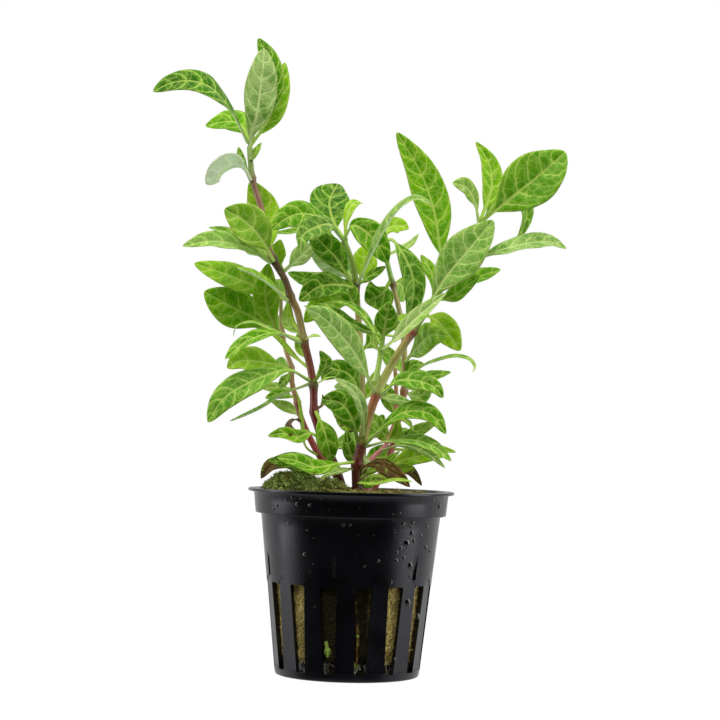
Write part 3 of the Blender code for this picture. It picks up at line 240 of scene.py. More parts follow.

# Leaves that replace nodes of their own, by stem: width, facing at base and tip, look, route of
# (x, z, depth). Facing is 0 where the upper side is turned to the viewer, 90 where it is turned up and
# 180 where it is turned away. A leaf that stands or hangs straight turns to the right instead of up.
# A look is the tone from dark to light, the painted silver sheen and how far the leaf has withered.
# Low tones of leaves that lie in shadow are partly painted shade, partly the leaves' own darker green.
LEAVES = {
    "tall": [
        (10.2, (75, 32), (0.1, 0, 0), [(-29.8, 141.6, -4), (-33.7, 148.2, -6), (-37.4, 153.0, -8),
            (-41.2, 156.3, -10), (-46.1, 157.7, -11), (-51.3, 157.0, -12), (-56.1, 154.6, -13)]),
        (8.2, (30, 25), (0.5, 0, 0), [(-29.8, 140.9, -3), (-31.4, 145.2, 0), (-34.6, 147.0, 3),
            (-38.2, 146.6, 4), (-41.8, 145.7, 5)]),
        (9.2, (15, 20), (0.3, 0.7, 0), [(-29.3, 137.2, -5), (-29.5, 143.0, -7), (-28.2, 148.5, -9),
            (-27.3, 155.5, -9), (-26.7, 162.5, -9), (-26.6, 167.1, -8)]),
        (8.8, (10, 12), (0.2, 0, 0), [(-29.4, 141.2, -3), (-26.8, 150.0, -2), (-25.2, 158.0, -1),
            (-25.6, 164.5, 0), (-28.2, 169.8, 1)]),
        (7.2, (30, 25), (0.6, 0, 0), [(-29.3, 140.4, -3), (-25.0, 147.5, 1), (-22.6, 154.5, 4),
            (-20.8, 163.4, 6)]),
        (8.5, (80, 165), (0.9, 0.9, 0), [(-28.9, 132.0, -4), (-31.2, 134.6, -6), (-34.2, 135.4, -8),
            (-37.6, 133.6, -10), (-41.2, 130.0, -10)]),
        (9.5, (10, 10), (0.8, 0, 0), [(-22.3, 110.5, -4), (-24.6, 117.9, 0), (-26.1, 124.5, 3),
            (-29.2, 131.2, 5)]),
        (10.6, (20, 10), (0.65, 0.15, 0), [(-22.6, 109.9, -7), (-25.9, 115.7, -10), (-30.6, 120.4, -12),
            (-36.0, 123.4, -13)]),
        (8.0, (50, 45), (0.5, 0.35, 0), [(-23.3, 109.3, -6), (-30.1, 113.2, -8), (-39.0, 114.6, -9),
            (-47.0, 113.1, -10)]),
        (5.5, (60, 60), (0.3, 0, 0), [(-22.6, 110.6, -3), (-31.6, 116.1, 0), (-40.2, 118.3, 2)]),
        (8.2, (25, 25), (0.65, 0, 0), [(-17.7, 99.3, -4), (-25.3, 102.1, 0), (-34.5, 105.6, 2),
            (-43.7, 108.6, 3)]),
        (6.0, (80, 75), (0.7, 0.1, 0), [(-17.7, 99.8, -7), (-25.4, 104.8, -9), (-32.4, 107.8, -10)]),
        (6.5, (70, 52), (0.35, 0, 0), [(-14.5, 88.8, -8), (-21.5, 90.4, -11), (-28.7, 88.1, -13),
            (-34.7, 83.1, -14)]),
        (9.0, (50, 25), (0.35, 0.1, 0), [(-11.3, 78.6, -8), (-17.5, 80.6, -12), (-26.5, 77.7, -15),
            (-34.7, 72.6, -17), (-38.8, 66.1, -17)]),
        (5.0, (78, 80), (0.5, 0.1, 0), [(-11.5, 77.2, -8), (-18.4, 74.4, -10), (-25.5, 69.9, -12),
            (-30.8, 67.4, -12), (-33.2, 66.5, -12)]),
        (6.0, (20, 5), (0.45, 0, 0.1), [(-10.2, 69.3, -9), (-8.0, 65.3, -12), (-6.6, 61.1, -13),
            (-5.6, 56.5, -12)]),
        (4.5, (40, 20), (0.5, 0, 0.3), [(-9.0, 63.4, -8), (-11.7, 63.9, -10), (-14.9, 62.7, -12),
            (-18.7, 63.6, -13), (-22.7, 62.8, -13)]),
    ],
    "left": [
        (7.5, (10, 5), (0.7, 0, 0), [(-19.9, 90.2, 4), (-23.2, 95.2, 1), (-24.5, 101.3, -1),
            (-23.9, 109.1, -2)]),
        (11.2, (15, 10), (0.55, 0, 0), [(-19.1, 89.9, 5), (-26.2, 93.8, 4), (-33.8, 97.3, 3),
            (-40.8, 101.1, 2)]),
        (8.5, (35, 20), (0.75, 0.1, 0), [(-17.3, 81.4, 4), (-24.8, 82.5, 0), (-30.7, 82.7, -2),
            (-34.1, 80.7, -3)]),
        (5.5, (10, 10), (1.0, 0.95, 0), [(-19.8, 106.8, 6), (-15.9, 110.6, 8), (-12.0, 114.8, 9)]),
        (5.0, (10, 10), (0.95, 0, 0), [(-19.8, 106.8, 6), (-21.5, 111.0, 6), (-20.8, 115.6, 6)]),
    ],
    "centre": [
        (11.6, (10, 10), (0.1, 0, 0), [(-4.0, 116.3, 6), (-6.8, 121.0, 4), (-7.9, 126.0, 3),
            (-5.8, 131.0, 4)]),
        (8.0, (35, 25), (0.4, 0, 0), [(-4.2, 116.2, 5), (-8.9, 121.0, 3), (-14.9, 122.7, 0),
            (-19.6, 121.2, -2), (-23.0, 118.2, -3)]),
        (7.0, (30, 5), (0.2, 0.1, 0), [(-4.3, 116.0, 4), (-7.5, 119.9, 0), (-12.3, 118.7, -4),
            (-15.0, 116.5, -6), (-15.4, 112.5, -7)]),
        (8.0, (25, 15), (0.2, 0, 0), [(-0.5, 104.4, 5), (-5.4, 110.6, 2), (-9.6, 114.8, 0),
            (-13.1, 118.4, -1)]),
        (7.0, (170, 165), (0.5, 0.3, 0), [(-0.5, 104.4, 7), (-5.9, 109.0, 9), (-9.5, 111.3, 10),
            (-12.7, 112.9, 10)]),
        (8.2, (15, 5), (0.35, 0, 0), [(-3.8, 116.6, 5), (-1.5, 119.8, 2), (2.2, 118.2, 0),
            (5.6, 114.4, -1), (8.2, 110.0, -1)]),
        (7.4, (10, 10), (1.0, 0, 0), [(0.4, 104.3, 7), (1.8, 108.9, 10), (1.4, 114.3, 12)]),
        (6.0, (60, 68), (0.4, 0.45, 0), [(0.4, 104.6, 4), (3.4, 111.4, -3), (7.2, 119.2, -7),
            (11.1, 125.0, -9), (15.3, 127.5, -10), (19.9, 126.0, -10)]),
        (8.0, (25, 15), (0.15, 0, 0), [(-0.4, 103.4, 4), (-5.5, 103.8, -1), (-10.3, 103.0, -3),
            (-15.3, 99.2, -4)]),
    ],
    "right": [
        (5.5, (20, 20), (0.8, 0, 0), [(6.5, 115.2, 9), (8.0, 119.3, 11), (10.7, 120.2, 12),
            (13.6, 119.4, 12)]),
        (7.2, (30, 15), (0.2, 0.1, 0), [(6.6, 115.6, 8), (8.8, 116.4, 6), (12.2, 112.4, 3),
            (15.0, 106.2, 1), (15.2, 100.4, 0), (14.0, 94.8, 0)]),
        (9.6, (15, 10), (0.25, 0, 0), [(9.4, 104.8, 9), (7.0, 101.8, 6), (2.4, 99.4, 3)]),
        (8.0, (25, 15), (0.6, 0.1, 0), [(13.4, 83.6, 9), (16.6, 87.4, 1), (20.4, 91.0, -6),
            (24.6, 90.8, -9)]),
        (1.8, (40, 60), (0.5, 0.3, 0), [(13.4, 76.6, 9), (17.5, 82.0, 4), (22.4, 84.4, 0),
            (27.6, 85.5, -2), (31.1, 84.5, -3), (32.2, 82.7, -3), (31.5, 81.1, -3)]),
    ],
    "main": [
        (7.8, (20, 25), (0.45, 0.5, 0), [(5.4, 75.6, -13), (2.2, 81.9, -15), (-1.3, 87.2, -16),
            (-6.0, 92.4, -15), (-10.1, 95.8, -13), (-13.4, 97.0, -11)]),
        (5.0, (30, 35), (0.7, 0.75, 0), [(7.5, 87.0, -13), (10.6, 89.6, -16), (16.6, 95.8, -18),
            (24.1, 102.4, -18)]),
        (12.0, (20, 22), (0.45, 0.4, 0), [(18.4, 98.4, -12), (23.1, 105.5, -14), (29.6, 113.9, -15),
            (36.2, 122.2, -14)]),
        (8.2, (60, 50), (0.35, 0.5, 0), [(27.8, 110.2, -10), (35.4, 113.0, -12), (44.8, 116.1, -13),
            (51.5, 116.8, -13), (56.0, 115.1, -13)]),
        (10.2, (10, 10), (0.5, 0, 0), [(25.5, 107.1, -9), (22.3, 113.7, -6), (20.2, 124.4, -3),
            (16.4, 134.5, -1), (9.7, 145.3, 0)]),
        (14.6, (10, 12), (0.45, 0.05, 0), [(32.3, 121.5, -9), (38.3, 126.3, -11), (44.7, 131.7, -12),
            (50.5, 136.7, -12), (55.1, 141.2, -11)]),
        (6.5, (15, 20), (0.6, 0, 0), [(32.8, 121.8, -7), (35.5, 131.5, -4), (34.6, 137.6, -2),
            (31.0, 143.3, -1)]),
        (5.5, (35, 40), (0.7, 0.4, 0), [(31.8, 121.2, -7), (31.0, 127.5, -5), (28.6, 131.0, -4),
            (25.0, 132.0, -4)]),
        (7.4, (10, 10), (0.85, 0, 0), [(18.0, 96.4, -9), (21.6, 95.0, -4), (25.0, 91.4, -2),
            (28.2, 87.0, -1)]),
        (7.0, (50, 30), (0.3, 0.05, 0), [(7.2, 75.2, -13), (11.7, 78.4, -15), (17.1, 78.5, -17),
            (21.4, 77.0, -18), (23.9, 74.2, -18)]),
        (6.8, (60, 35), (0.35, 0, 0), [(3.6, 62.0, -11), (8.0, 66.0, -13), (13.8, 70.1, -15),
            (20.5, 69.8, -16), (24.9, 64.6, -16)]),
        (5.5, (70, 45), (0.45, 0.1, 0), [(3.9, 61.0, -11), (9.5, 62.3, -14), (15.9, 62.7, -16),
            (21.5, 61.2, -17), (26.5, 57.4, -17)]),
        (8.5, (15, 10), (0.2, 0, 0), [(1.7, 62.2, -11), (-0.3, 68.2, -13), (-3.6, 72.1, -14),
            (-8.7, 73.0, -14)]),
        (5.8, (60, 25), (0.45, 0, 0.25), [(0.8, 56.2, -10), (-4.6, 55.7, -13), (-10.1, 54.8, -15),
            (-15.3, 56.5, -16), (-20.1, 57.1, -16)]),
    ],
}
# The one leaf that doesn't grow from the stem of its name, and what it grows from
LEAF_OFF_ITS_STEM = ("main_leaf_2", "side_shoot")

# Small leaves, axil shoots and withered scraps, each part of the stem it grows from: stem, width,
# facing at base and tip, look, route of (x, z, depth)
SMALL_LEAVES = [
    ("tall_stem", 2.5, (20, 20), (0.5, 0, 0), [(-29.3, 131.7, -5), (-31.5, 135.7, -6),
        (-32.7, 140.2, -6)]),
    ("tall_stem", 2.8, (40, 40), (0.4, 0, 0), [(-29.2, 136.4, -5), (-28.0, 138.8, -7),
        (-26.6, 141.6, -8)]),
    ("tall_stem", 1.6, (40, 60), (0.5, 0.2, 0), [(-14.3, 88.4, -8), (-21.8, 91.0, -9),
        (-28.0, 93.2, -9), (-32.0, 91.8, -9), (-32.7, 89.0, -9)]),
    ("tall_stem", 3.4, (20, 20), (0.7, 0.3, 0), [(-15.1, 89.2, -6), (-17.5, 92.4, -3),
        (-19.8, 95.0, -1)]),
    ("tall_stem", 1.3, (20, 20), (0.8, 0, 0.1), [(-14.6, 89.5, -6), (-16.8, 93.5, -4),
        (-17.6, 98.1, -3)]),
    ("tall_stem", 1.3, (50, 50), (0.6, 0.2, 0), [(-13.2, 88.5, -7), (-11.6, 89.9, -9),
        (-9.2, 89.9, -10)]),
    ("tall_stem", 3.6, (20, 20), (0.3, 0, 0), [(-10.5, 77.3, -8), (-8.1, 81.4, -10), (-7.7, 83.5, -11),
        (-9.4, 86.1, -11)]),
    ("tall_stem", 2.5, (40, 40), (0.5, 0, 0), [(-10.2, 78.0, -6), (-7.4, 81.4, -5), (-4.4, 80.7, -4)]),
    ("tall_stem", 1.6, (70, 70), (0.5, 0, 0), [(-10.5, 76.4, -8), (-7.4, 78.6, -8), (-4.8, 79.2, -7)]),
    ("tall_stem", 2.6, (30, 90), (0.3, 0, 1), [(-10.2, 70.0, -6), (-8.0, 71.8, -6), (-8.4, 74.4, -6)]),
    ("left_stem", 3.6, (30, 30), (0.5, 0, 0), [(-15.4, 73.2, 4), (-19.5, 74.2, 1), (-23.7, 72.9, 0)]),
    ("left_stem", 3.0, (20, 20), (0.7, 0.3, 0), [(-16.6, 75.2, 6), (-20.9, 75.9, 8), (-24.6, 75.6, 9)]),
    ("left_stem", 3.4, (20, 20), (0.7, 0.4, 0), [(-14.3, 68.1, 6), (-17.5, 70.4, 8), (-22.1, 72.2, 9)]),
    ("left_stem", 3.0, (20, 20), (0.2, 0, 0), [(-16.9, 80.6, 3), (-18.3, 78.2, 1), (-20.1, 76.0, 0)]),
    ("left_stem", 2.8, (10, 10), (0.8, 0, 0), [(-19.7, 91.0, 6), (-18.4, 96.1, 8), (-18.2, 99.5, 9)]),
    ("left_stem", 2.6, (20, 80), (0.3, 0, 1), [(-13.6, 66.5, 3), (-15.6, 67.4, 0), (-17.2, 65.6, -2),
        (-15.2, 64.2, -3)]),
    ("left_stem", 1.2, (20, 20), (0.9, 0, 0), [(-8.3, 57.6, 3), (-12.6, 60.4, 0), (-13.6, 66.0, 0),
        (-14.6, 72.4, 0), (-15.6, 75.5, 1)]),
    ("left_stem", 6.5, (40, 20), (0.15, 0, 0.1), [(-5.6, 54.6, 3), (-13.8, 55.6, -4), (-18.0, 56.2, -8),
        (-22.4, 56.2, -10)]),
    ("left_stem", 5.6, (40, 50), (0.6, 0, 1), [(-6.6, 55.8, 5), (-15.0, 55.4, 6), (-21.4, 55.0, 3),
        (-24.2, 51.4, 1)]),
    ("centre_stem", 3.0, (10, 10), (0.8, 0, 0), [(-4.2, 116.3, 5), (-3.4, 120.7, 2), (-2.3, 124.7, 1),
        (-0.7, 126.2, 1), (1.1, 125.8, 1)]),
    ("centre_stem", 5.5, (60, 50), (0.3, 0, 0), [(-3.8, 115.6, 7), (-12.9, 118.5, 9), (-18.2, 117.5, 9),
        (-22.7, 117.2, 8)]),
    ("centre_stem", 3.4, (40, 30), (0.25, 0, 0), [(0.2, 104.0, 4), (3.8, 106.5, 3), (7.7, 109.1, 3)]),
    ("centre_stem", 5.6, (10, 10), (0.3, 0, 0), [(0.6, 96.6, 4), (-1.8, 101.0, 3), (-3.4, 105.4, 3)]),
    ("centre_stem", 6.4, (30, 30), (0.2, 0, 0), [(-0.3, 104.4, 8), (-7.7, 104.4, 12),
        (-13.3, 104.8, 13), (-18.6, 106.8, 13)]),
    ("centre_stem", 7.0, (10, 10), (0.7, 0, 0), [(0.0, 99.0, 7), (-4.5, 99.4, 11), (-9.1, 98.4, 13),
        (-13.8, 93.5, 13)]),
    ("centre_stem", 4.0, (20, 20), (0.6, 0, 0.4), [(2.2, 64.6, 5), (-3.0, 67.3, 2), (-4.7, 71.2, 1)]),
    ("centre_stem", 4.2, (10, 10), (0.2, 0, 0), [(2.6, 55.0, 5), (-0.6, 59.1, 0), (-1.8, 65.0, -2)]),
    ("centre_stem", 6.5, (25, 20), (0.2, 0, 0), [(2.0, 72.4, 5), (-0.8, 79.2, 1), (-4.9, 81.0, -1),
        (-8.9, 78.4, -2)]),
    ("right_stem", 2.2, (20, 20), (0.7, 0.5, 0), [(7.4, 112.0, 9), (14.0, 115.2, 12),
        (16.3, 118.1, 13)]),
    ("right_stem", 4.0, (35, 30), (0.3, 0, 0), [(13.4, 77.8, 9), (15.2, 82.3, 7), (18.6, 83.2, 6)]),
    ("right_stem", 4.4, (45, 40), (0.3, 0, 0), [(13.5, 76.8, 8), (19.7, 79.4, 3), (25.9, 81.2, 1)]),
    ("right_stem", 5.0, (20, 20), (0.6, 0.4, 0), [(13.4, 75.4, 11), (17.2, 74.4, 12),
        (20.8, 76.2, 13)]),
    ("right_stem", 4.0, (35, 30), (0.5, 0, 0), [(12.6, 71.4, 9), (16.2, 72.4, 6), (19.9, 71.0, 5)]),
    ("right_stem", 4.0, (25, 25), (0.7, 0.3, 0), [(11.2, 62.6, 11), (16.6, 64.8, 11),
        (22.7, 68.0, 11)]),
    ("right_stem", 3.6, (40, 30), (0.2, 0, 0), [(10.8, 61.6, 9), (14.8, 64.0, 5), (17.8, 64.2, 3)]),
    ("right_stem", 3.5, (40, 30), (0.85, 0, 0), [(10.4, 60.2, 10), (16.6, 59.8, 7), (22.6, 60.5, 5),
        (27.8, 59.8, 4)]),
    ("right_stem", 5.8, (35, 25), (0.8, 0, 0), [(8.4, 54.6, 9), (12.8, 56.9, 4), (18.1, 58.6, 1),
        (24.9, 58.9, -1)]),
    ("thin_stem", 4.0, (30, 90), (0.15, 0, 0.2), [(11.2, 68.8, 4), (14.2, 67.5, 0), (16.4, 65.1, -2)]),
    ("thin_stem", 3.2, (10, 10), (0.8, 0, 0), [(9.6, 62.2, 3), (12.0, 65.4, -1), (11.4, 69.2, -2)]),
    ("thin_stem", 3.6, (60, 45), (0.2, 0.3, 0), [(8.0, 60.2, 2), (13.5, 61.2, -5), (18.1, 60.2, -9),
        (21.9, 58.0, -11), (24.9, 55.5, -11)]),
    ("thin_stem", 4.0, (30, 20), (0.9, 0, 0.1), [(4.8, 53.0, 0), (10.8, 53.4, -4), (13.7, 55.0, -6),
        (16.8, 55.4, -7)]),
    ("main_stem", 4.8, (55, 50), (0.15, 0, 0), [(14.2, 90.2, -9), (3.4, 91.4, -6), (-1.5, 93.6, -7),
        (-7.8, 97.6, -7), (-14.2, 97.8, -6)]),
    ("main_stem", 7.2, (15, 5), (0.4, 0, 0), [(32.8, 121.2, -6), (38.0, 128.2, -3), (43.2, 128.8, -1),
        (45.2, 124.0, 0), (42.4, 116.2, 0)]),
    ("main_stem", 6.4, (45, 40), (0.5, 0, 0), [(23.9, 105.4, -8), (31.6, 106.6, -6),
        (38.5, 109.1, -5)]),
    ("main_stem", 7.0, (40, 40), (0.6, 0, 0), [(20.3, 99.8, -9), (25.2, 101.2, -8), (29.4, 104.2, -8),
        (33.0, 107.2, -8)]),
    ("main_stem", 4.0, (30, 30), (0.5, 0, 0), [(20.8, 101.0, -11), (20.1, 107.0, -11),
        (17.0, 112.5, -10)]),
    ("main_stem", 4.0, (40, 40), (0.5, 0.5, 0), [(6.4, 74.0, -11), (10.8, 73.3, -12),
        (15.4, 72.9, -12)]),
    ("main_stem", 3.8, (30, 35), (0.5, 0.7, 0), [(2.6, 62.0, -11), (2.6, 69.0, -15), (0.3, 74.9, -17),
        (-5.4, 78.9, -17)]),
    ("main_stem", 3.0, (40, 60), (0.6, 0.5, 0), [(1.2, 54.8, -8), (-4.6, 53.4, -12),
        (-9.0, 51.6, -14)]),
    ("main_stem", 3.2, (40, 40), (0.5, 0, 0), [(1.6, 52.0, -8), (8.0, 55.8, -11), (12.7, 59.7, -12)]),
    ("main_stem", 4.4, (10, 10), (0.4, 0, 1), [(2.2, 54.4, -8), (6.4, 56.2, -11), (10.2, 54.6, -13),
        (13.6, 52.2, -14), (15.6, 50.2, -14)]),
    ("main_stem", 2.2, (60, 60), (0.6, 0, 0), [(1.8, 51.0, -8), (7.0, 50.8, -13), (12.0, 51.9, -15),
        (16.4, 51.6, -16)]),
    ("main_stem", 3.4, (20, 20), (0.2, 0, 0), [(1.9, 50.6, -8), (5.0, 51.2, -12), (7.4, 52.4, -13)]),
    ("tall_stem", 6.5, (20, 20), (0.5, 0, 0), [(-22.3, 109.7, -4), (-26.0, 113.0, 3),
        (-30.0, 113.5, 10)]),
    ("tall_stem", 6.5, (15, 20), (0.6, 0, 0), [(-17.5, 99.9, -4), (-22.0, 102.0, 5),
        (-27.0, 101.5, 12)]),
    ("left_stem", 7.0, (20, 20), (0.4, 0, 0), [(-19.6, 90.5, 6), (-23.0, 93.0, 13), (-27.0, 94.0, 20)]),
    ("left_stem", 6.5, (20, 20), (0.5, 0, 0), [(-17.0, 81.4, 6), (-20.0, 81.0, 14), (-24.0, 80.0, 21)]),
    ("centre_stem", 7.0, (20, 20), (0.35, 0, 0), [(-0.2, 104.0, 8), (-3.0, 108.0, 16),
        (-6.0, 110.0, 24)]),
    ("centre_stem", 7.0, (20, 20), (0.6, 0, 0), [(1.2, 88.0, 7), (-2.0, 92.0, 15), (-5.0, 94.0, 23)]),
    ("centre_stem", 6.5, (20, 20), (0.4, 0, 0), [(2.3, 71.7, 7), (-1.0, 76.0, 15), (-5.0, 77.0, 23)]),
    ("centre_stem", 6.0, (20, 20), (0.3, 0, 0), [(2.6, 60.0, 7), (-1.0, 62.0, 14), (-5.0, 61.0, 20)]),
    ("right_stem", 7.0, (20, 20), (0.5, 0, 0), [(9.4, 105.0, 11), (12.0, 104.0, 19),
        (13.0, 100.0, 26)]),
    ("right_stem", 7.0, (20, 20), (0.4, 0, 0), [(13.3, 91.0, 11), (10.0, 94.0, 19), (6.0, 95.0, 26)]),
    ("right_stem", 7.0, (20, 20), (0.5, 0, 0), [(13.4, 76.0, 12), (15.0, 78.0, 20), (18.0, 77.0, 27)]),
    ("right_stem", 6.5, (20, 20), (0.35, 0, 0), [(10.6, 60.7, 11), (14.0, 63.0, 18), (18.0, 62.0, 25)]),
    ("main_stem", 6.5, (20, 20), (0.6, 0, 0), [(14.9, 91.1, -10), (14.3, 94.0, -3), (13.0, 96.5, 4)]),
    ("main_stem", 6.5, (20, 20), (0.5, 0, 0), [(27.5, 109.9, -8), (27.5, 113.5, 0), (27.0, 116.5, 7)]),
    ("side_shoot", 6.6, (10, 5), (0.25, 0, 0), [(7.4, 89.0, -12.5), (8.0, 94.1, -13),
        (8.8, 99.6, -13)]),
    ("side_shoot", 3.8, (55, 50), (0.2, 0, 0), [(7.0, 87.4, -12), (3.3, 93.9, -10), (-1.1, 98.2, -9),
        (-6.2, 99.3, -9)]),
    ("side_shoot", 2.2, (20, 20), (0.7, 0.2, 0), [(6.9, 86.2, -12.5), (4.8, 88.4, -13),
        (5.5, 91.6, -13)]),
    ("tall_stem", 1.7, (20, 20), (0.9, 0, 0), [(-12.0, 80.6, -8), (-16.2, 84.4, -7), (-20.0, 88.4, -6),
        (-23.4, 90.8, -6)]),
    ("tall_stem", 2.8, (15, 15), (0.7, 0, 0), [(-12.4, 83.0, -6), (-14.6, 86.0, -3),
        (-15.6, 90.4, -2)]),
    ("right_stem", 4.0, (20, 60), (0.5, 0, 1), [(6.6, 51.4, 9), (12.0, 53.8, 3), (15.8, 54.2, -4),
        (18.8, 50.6, -7)]),
    ("main_stem", 2.4, (10, 10), (0.5, 0.9, 0.4), [(2.2, 52.4, -9), (4.0, 55.2, -11),
        (3.4, 58.4, -11)]),
    ("centre_stem", 5.0, (20, 20), (0.35, 0, 0), [(1.4, 86.0, 5), (4.8, 89.4, 4), (6.4, 94.0, 3)]),
    ("right_stem", 5.6, (25, 20), (0.3, 0, 0), [(12.2, 68.4, 10), (9.6, 73.0, 12), (8.6, 77.6, 13)]),
    ("right_stem", 5.4, (30, 25), (0.5, 0.1, 0), [(10.8, 61.8, 9), (7.2, 65.4, 6), (5.0, 69.6, 5)]),
    ("centre_stem", 5.2, (20, 15), (0.25, 0, 0), [(2.6, 62.0, 7), (6.2, 64.8, 10), (8.0, 69.4, 12)]),
    ("centre_stem", 5.0, (20, 20), (0.6, 0, 0), [(2.2, 72.6, 7), (5.2, 76.4, 9), (6.0, 81.2, 10)]),
    ("right_stem", 5.2, (25, 20), (0.4, 0.1, 0), [(13.3, 80.0, 11), (10.2, 83.4, 13), (8.6, 87.6, 14)]),
    ("centre_stem", 5.0, (25, 20), (0.3, 0, 0), [(2.6, 57.0, 7), (6.0, 58.0, 9), (9.6, 61.4, 11)]),
]

# Stem colours from the foot up: height and screen colour
STEM_COLOURS = {
    "tall_stem": [(48, (70, 26, 22)), (58, (120, 34, 36)), (75, (112, 28, 32)), (77, (96, 92, 48)),
        (79, (118, 44, 30)), (87, (108, 52, 26)), (89, (132, 122, 62)), (98, (132, 104, 48)),
        (101, (90, 62, 30)), (109, (64, 46, 22)), (112, (140, 96, 74)), (127, (158, 112, 90)),
        (131, (120, 96, 60)), (134, (136, 164, 84)), (141, (120, 160, 60))],
    "left_stem": [(48, (120, 44, 44)), (62, (170, 70, 66)), (71, (144, 68, 56)), (74, (190, 136, 98)),
        (90, (206, 172, 124)), (107, (162, 176, 90))],
    "main_stem": [(48, (52, 22, 18)), (56, (104, 40, 32)), (61, (124, 52, 38)), (62.5, (160, 166, 78)),
        (69, (170, 128, 66)), (74, (184, 94, 66)), (75.5, (192, 204, 116)), (78, (178, 182, 88)),
        (88, (172, 158, 84)), (91, (156, 62, 60)), (93, (160, 188, 102)), (121, (142, 184, 90))],
    "centre_stem": [(48, (110, 70, 46)), (60, (156, 146, 72)), (90, (176, 170, 94)),
        (101, (160, 134, 78)), (104.3, (84, 56, 30)), (106, (124, 146, 48)), (117, (138, 176, 60))],
    "right_stem": [(48, (150, 60, 64)), (60, (196, 104, 96)), (73, (186, 92, 74)),
        (77, (160, 128, 76)), (90, (168, 168, 88)), (103, (174, 156, 98)), (105, (96, 56, 34)),
        (107, (150, 190, 84)), (116, (150, 196, 84))],
    "thin_stem": [(48, (190, 96, 110)), (60, (206, 124, 122)), (72, (196, 118, 92)),
        (82, (170, 150, 92))],
    "side_shoot": [(76, (186, 204, 120)), (83, (150, 190, 64)), (90, (110, 156, 40))],
}

# Drops on the pot: place in the front view and radius
DROPS = [
    (14.0, 40.4, 0.5), (16.5, 40.8, 0.45), (16.1, 39.7, 0.4), (16.4, 38.1, 0.65), (18.8, 37.5, 0.45),
    (17.0, 36.0, 0.5), (15.2, 35.4, 0.9), (13.5, 34.0, 0.5), (12.5, 32.7, 0.45), (14.4, 31.4, 0.5),
    (12.4, 30.5, 0.5), (16.2, 29.5, 0.8), (16.1, 26.6, 0.45), (11.2, 24.8, 0.4), (21.8, 47.0, 0.4),
    (23.6, 45.4, 0.55), (20.5, 39.8, 0.45), (20.3, 34.4, 0.5), (21.4, 33.4, 0.45), (15.9, 19.7, 0.75),
    (18.6, 16.0, 0.6), (12.7, 4.3, 0.4), (-15.7, 46.6, 0.4), (-17.3, 46.0, 0.4), (-14.4, 44.9, 0.45),
    (-19.7, 44.5, 0.4), (-20.6, 43.6, 0.35), (-11.0, 44.7, 0.4), (-16.5, 39.7, 0.4),
    (-12.0, 31.6, 0.45), (-1.9, 39.8, 0.4), (-0.1, 39.8, 0.35), (7.6, 30.4, 0.4), (3.9, 29.0, 0.35),
]

# Leaf bits behind the slots: width, facing, look, route of (x, z, depth)
# Tones below zero hold two bits at the darkest leaf colour: painted shade inside the pot.
SLOT_BITS = [
    (0.9, (10, 10), (0.25, 0.2, 0.7), [(1.9, 19.5, -19.6), (2.7, 9.6, -18.9), (2.5, 1.6, -18.0)]),
    (1.9, (10, 10), (-0.6, 0, 0.1), [(-5.6, 8.0, -18.0), (-5.2, 5.9, -18.1), (-5.2, 4.2, -17.9)]),
    (1.3, (10, 10), (-0.4, 0, 0), [(1.6, 3.4, -17.8), (2.1, 2.6, -17.9), (2.8, 1.6, -17.8)]),
]

# Roots that hang under the wool: place from above and count
ROOTS = [(-12.6, -12.4, 12), (-5.4, -15.8, 18), (3.0, -16.2, 7), (10.2, -13.4, 12), (0.0, -9.0, 10)]


def seen(x, z, depth):
    """The point at this depth on the line of sight through (x, z) of the pot's axis plane."""
    on_plane = np.array([x, 0.0, z])
    return EYE + (on_plane - EYE) * (1 - depth / EYE[1])


def unit(v):
    return v / np.linalg.norm(v, axis=-1, keepdims=True)


def smooth_route(points, count):
    """Points at equal steps along a smooth curve through the given ones."""
    pts = np.array(points, float)
    padded = np.vstack([2 * pts[0] - pts[1], pts, 2 * pts[-1] - pts[-2]])
    knots = np.concatenate([[0], np.cumsum(np.linalg.norm(np.diff(padded, axis=0), axis=1) ** 0.5)])
    dense = []
    for i in range(1, len(padded) - 2):
        k0, k1, k2, k3 = knots[i - 1:i + 3]
        p0, p1, p2, p3 = padded[i - 1:i + 3]
        for s in np.linspace(k1, k2, KNOT_STEPS, endpoint=False):
            a1 = (k1 - s) / (k1 - k0) * p0 + (s - k0) / (k1 - k0) * p1
            a2 = (k2 - s) / (k2 - k1) * p1 + (s - k1) / (k2 - k1) * p2
            a3 = (k3 - s) / (k3 - k2) * p2 + (s - k2) / (k3 - k2) * p3
            b1 = (k2 - s) / (k2 - k0) * a1 + (s - k0) / (k2 - k0) * a2
            b2 = (k3 - s) / (k3 - k1) * a2 + (s - k1) / (k3 - k1) * a3
            dense.append((k2 - s) / (k2 - k1) * b1 + (s - k1) / (k2 - k1) * b2)
    dense.append(padded[-2])
    dense = np.array(dense)
    run = np.concatenate([[0], np.cumsum(np.linalg.norm(np.diff(dense, axis=0), axis=1))])
    wanted = np.linspace(0, run[-1], count)
    return np.stack([np.interp(wanted, run, dense[:, i]) for i in range(3)], axis=1)


def carried_sideways(tangents, start, first):
    """Carry a side direction along a route from one of its points, without twisting it."""
    sides = np.zeros_like(tangents)
    sides[start] = first - tangents[start] * np.dot(first, tangents[start])
    for order in (range(start + 1, len(tangents)), range(start - 1, -1, -1)):
        last = sides[start]
        for i in order:
            last = last - tangents[i] * np.dot(last, tangents[i])
            last = last / np.linalg.norm(last)
            sides[i] = last
    return unit(sides)


class Stem:
    """A stem's centre line with its radius, swollen at the nodes."""

    def __init__(self, name):
        foot, top, route, self.nodes = STEMS[name]
        self.fine = smooth_route([seen(*p) for p in route], ROUTE_STEPS)
        self.fine_radius = foot + (top - foot) * np.linspace(0, 1, ROUTE_STEPS)
        for height in self.nodes:
            swelling = np.exp(-((self.fine[:, 2] - height) / NODE_LENGTH) ** 2)
            self.fine_radius += NODE_SWELLING * foot * swelling


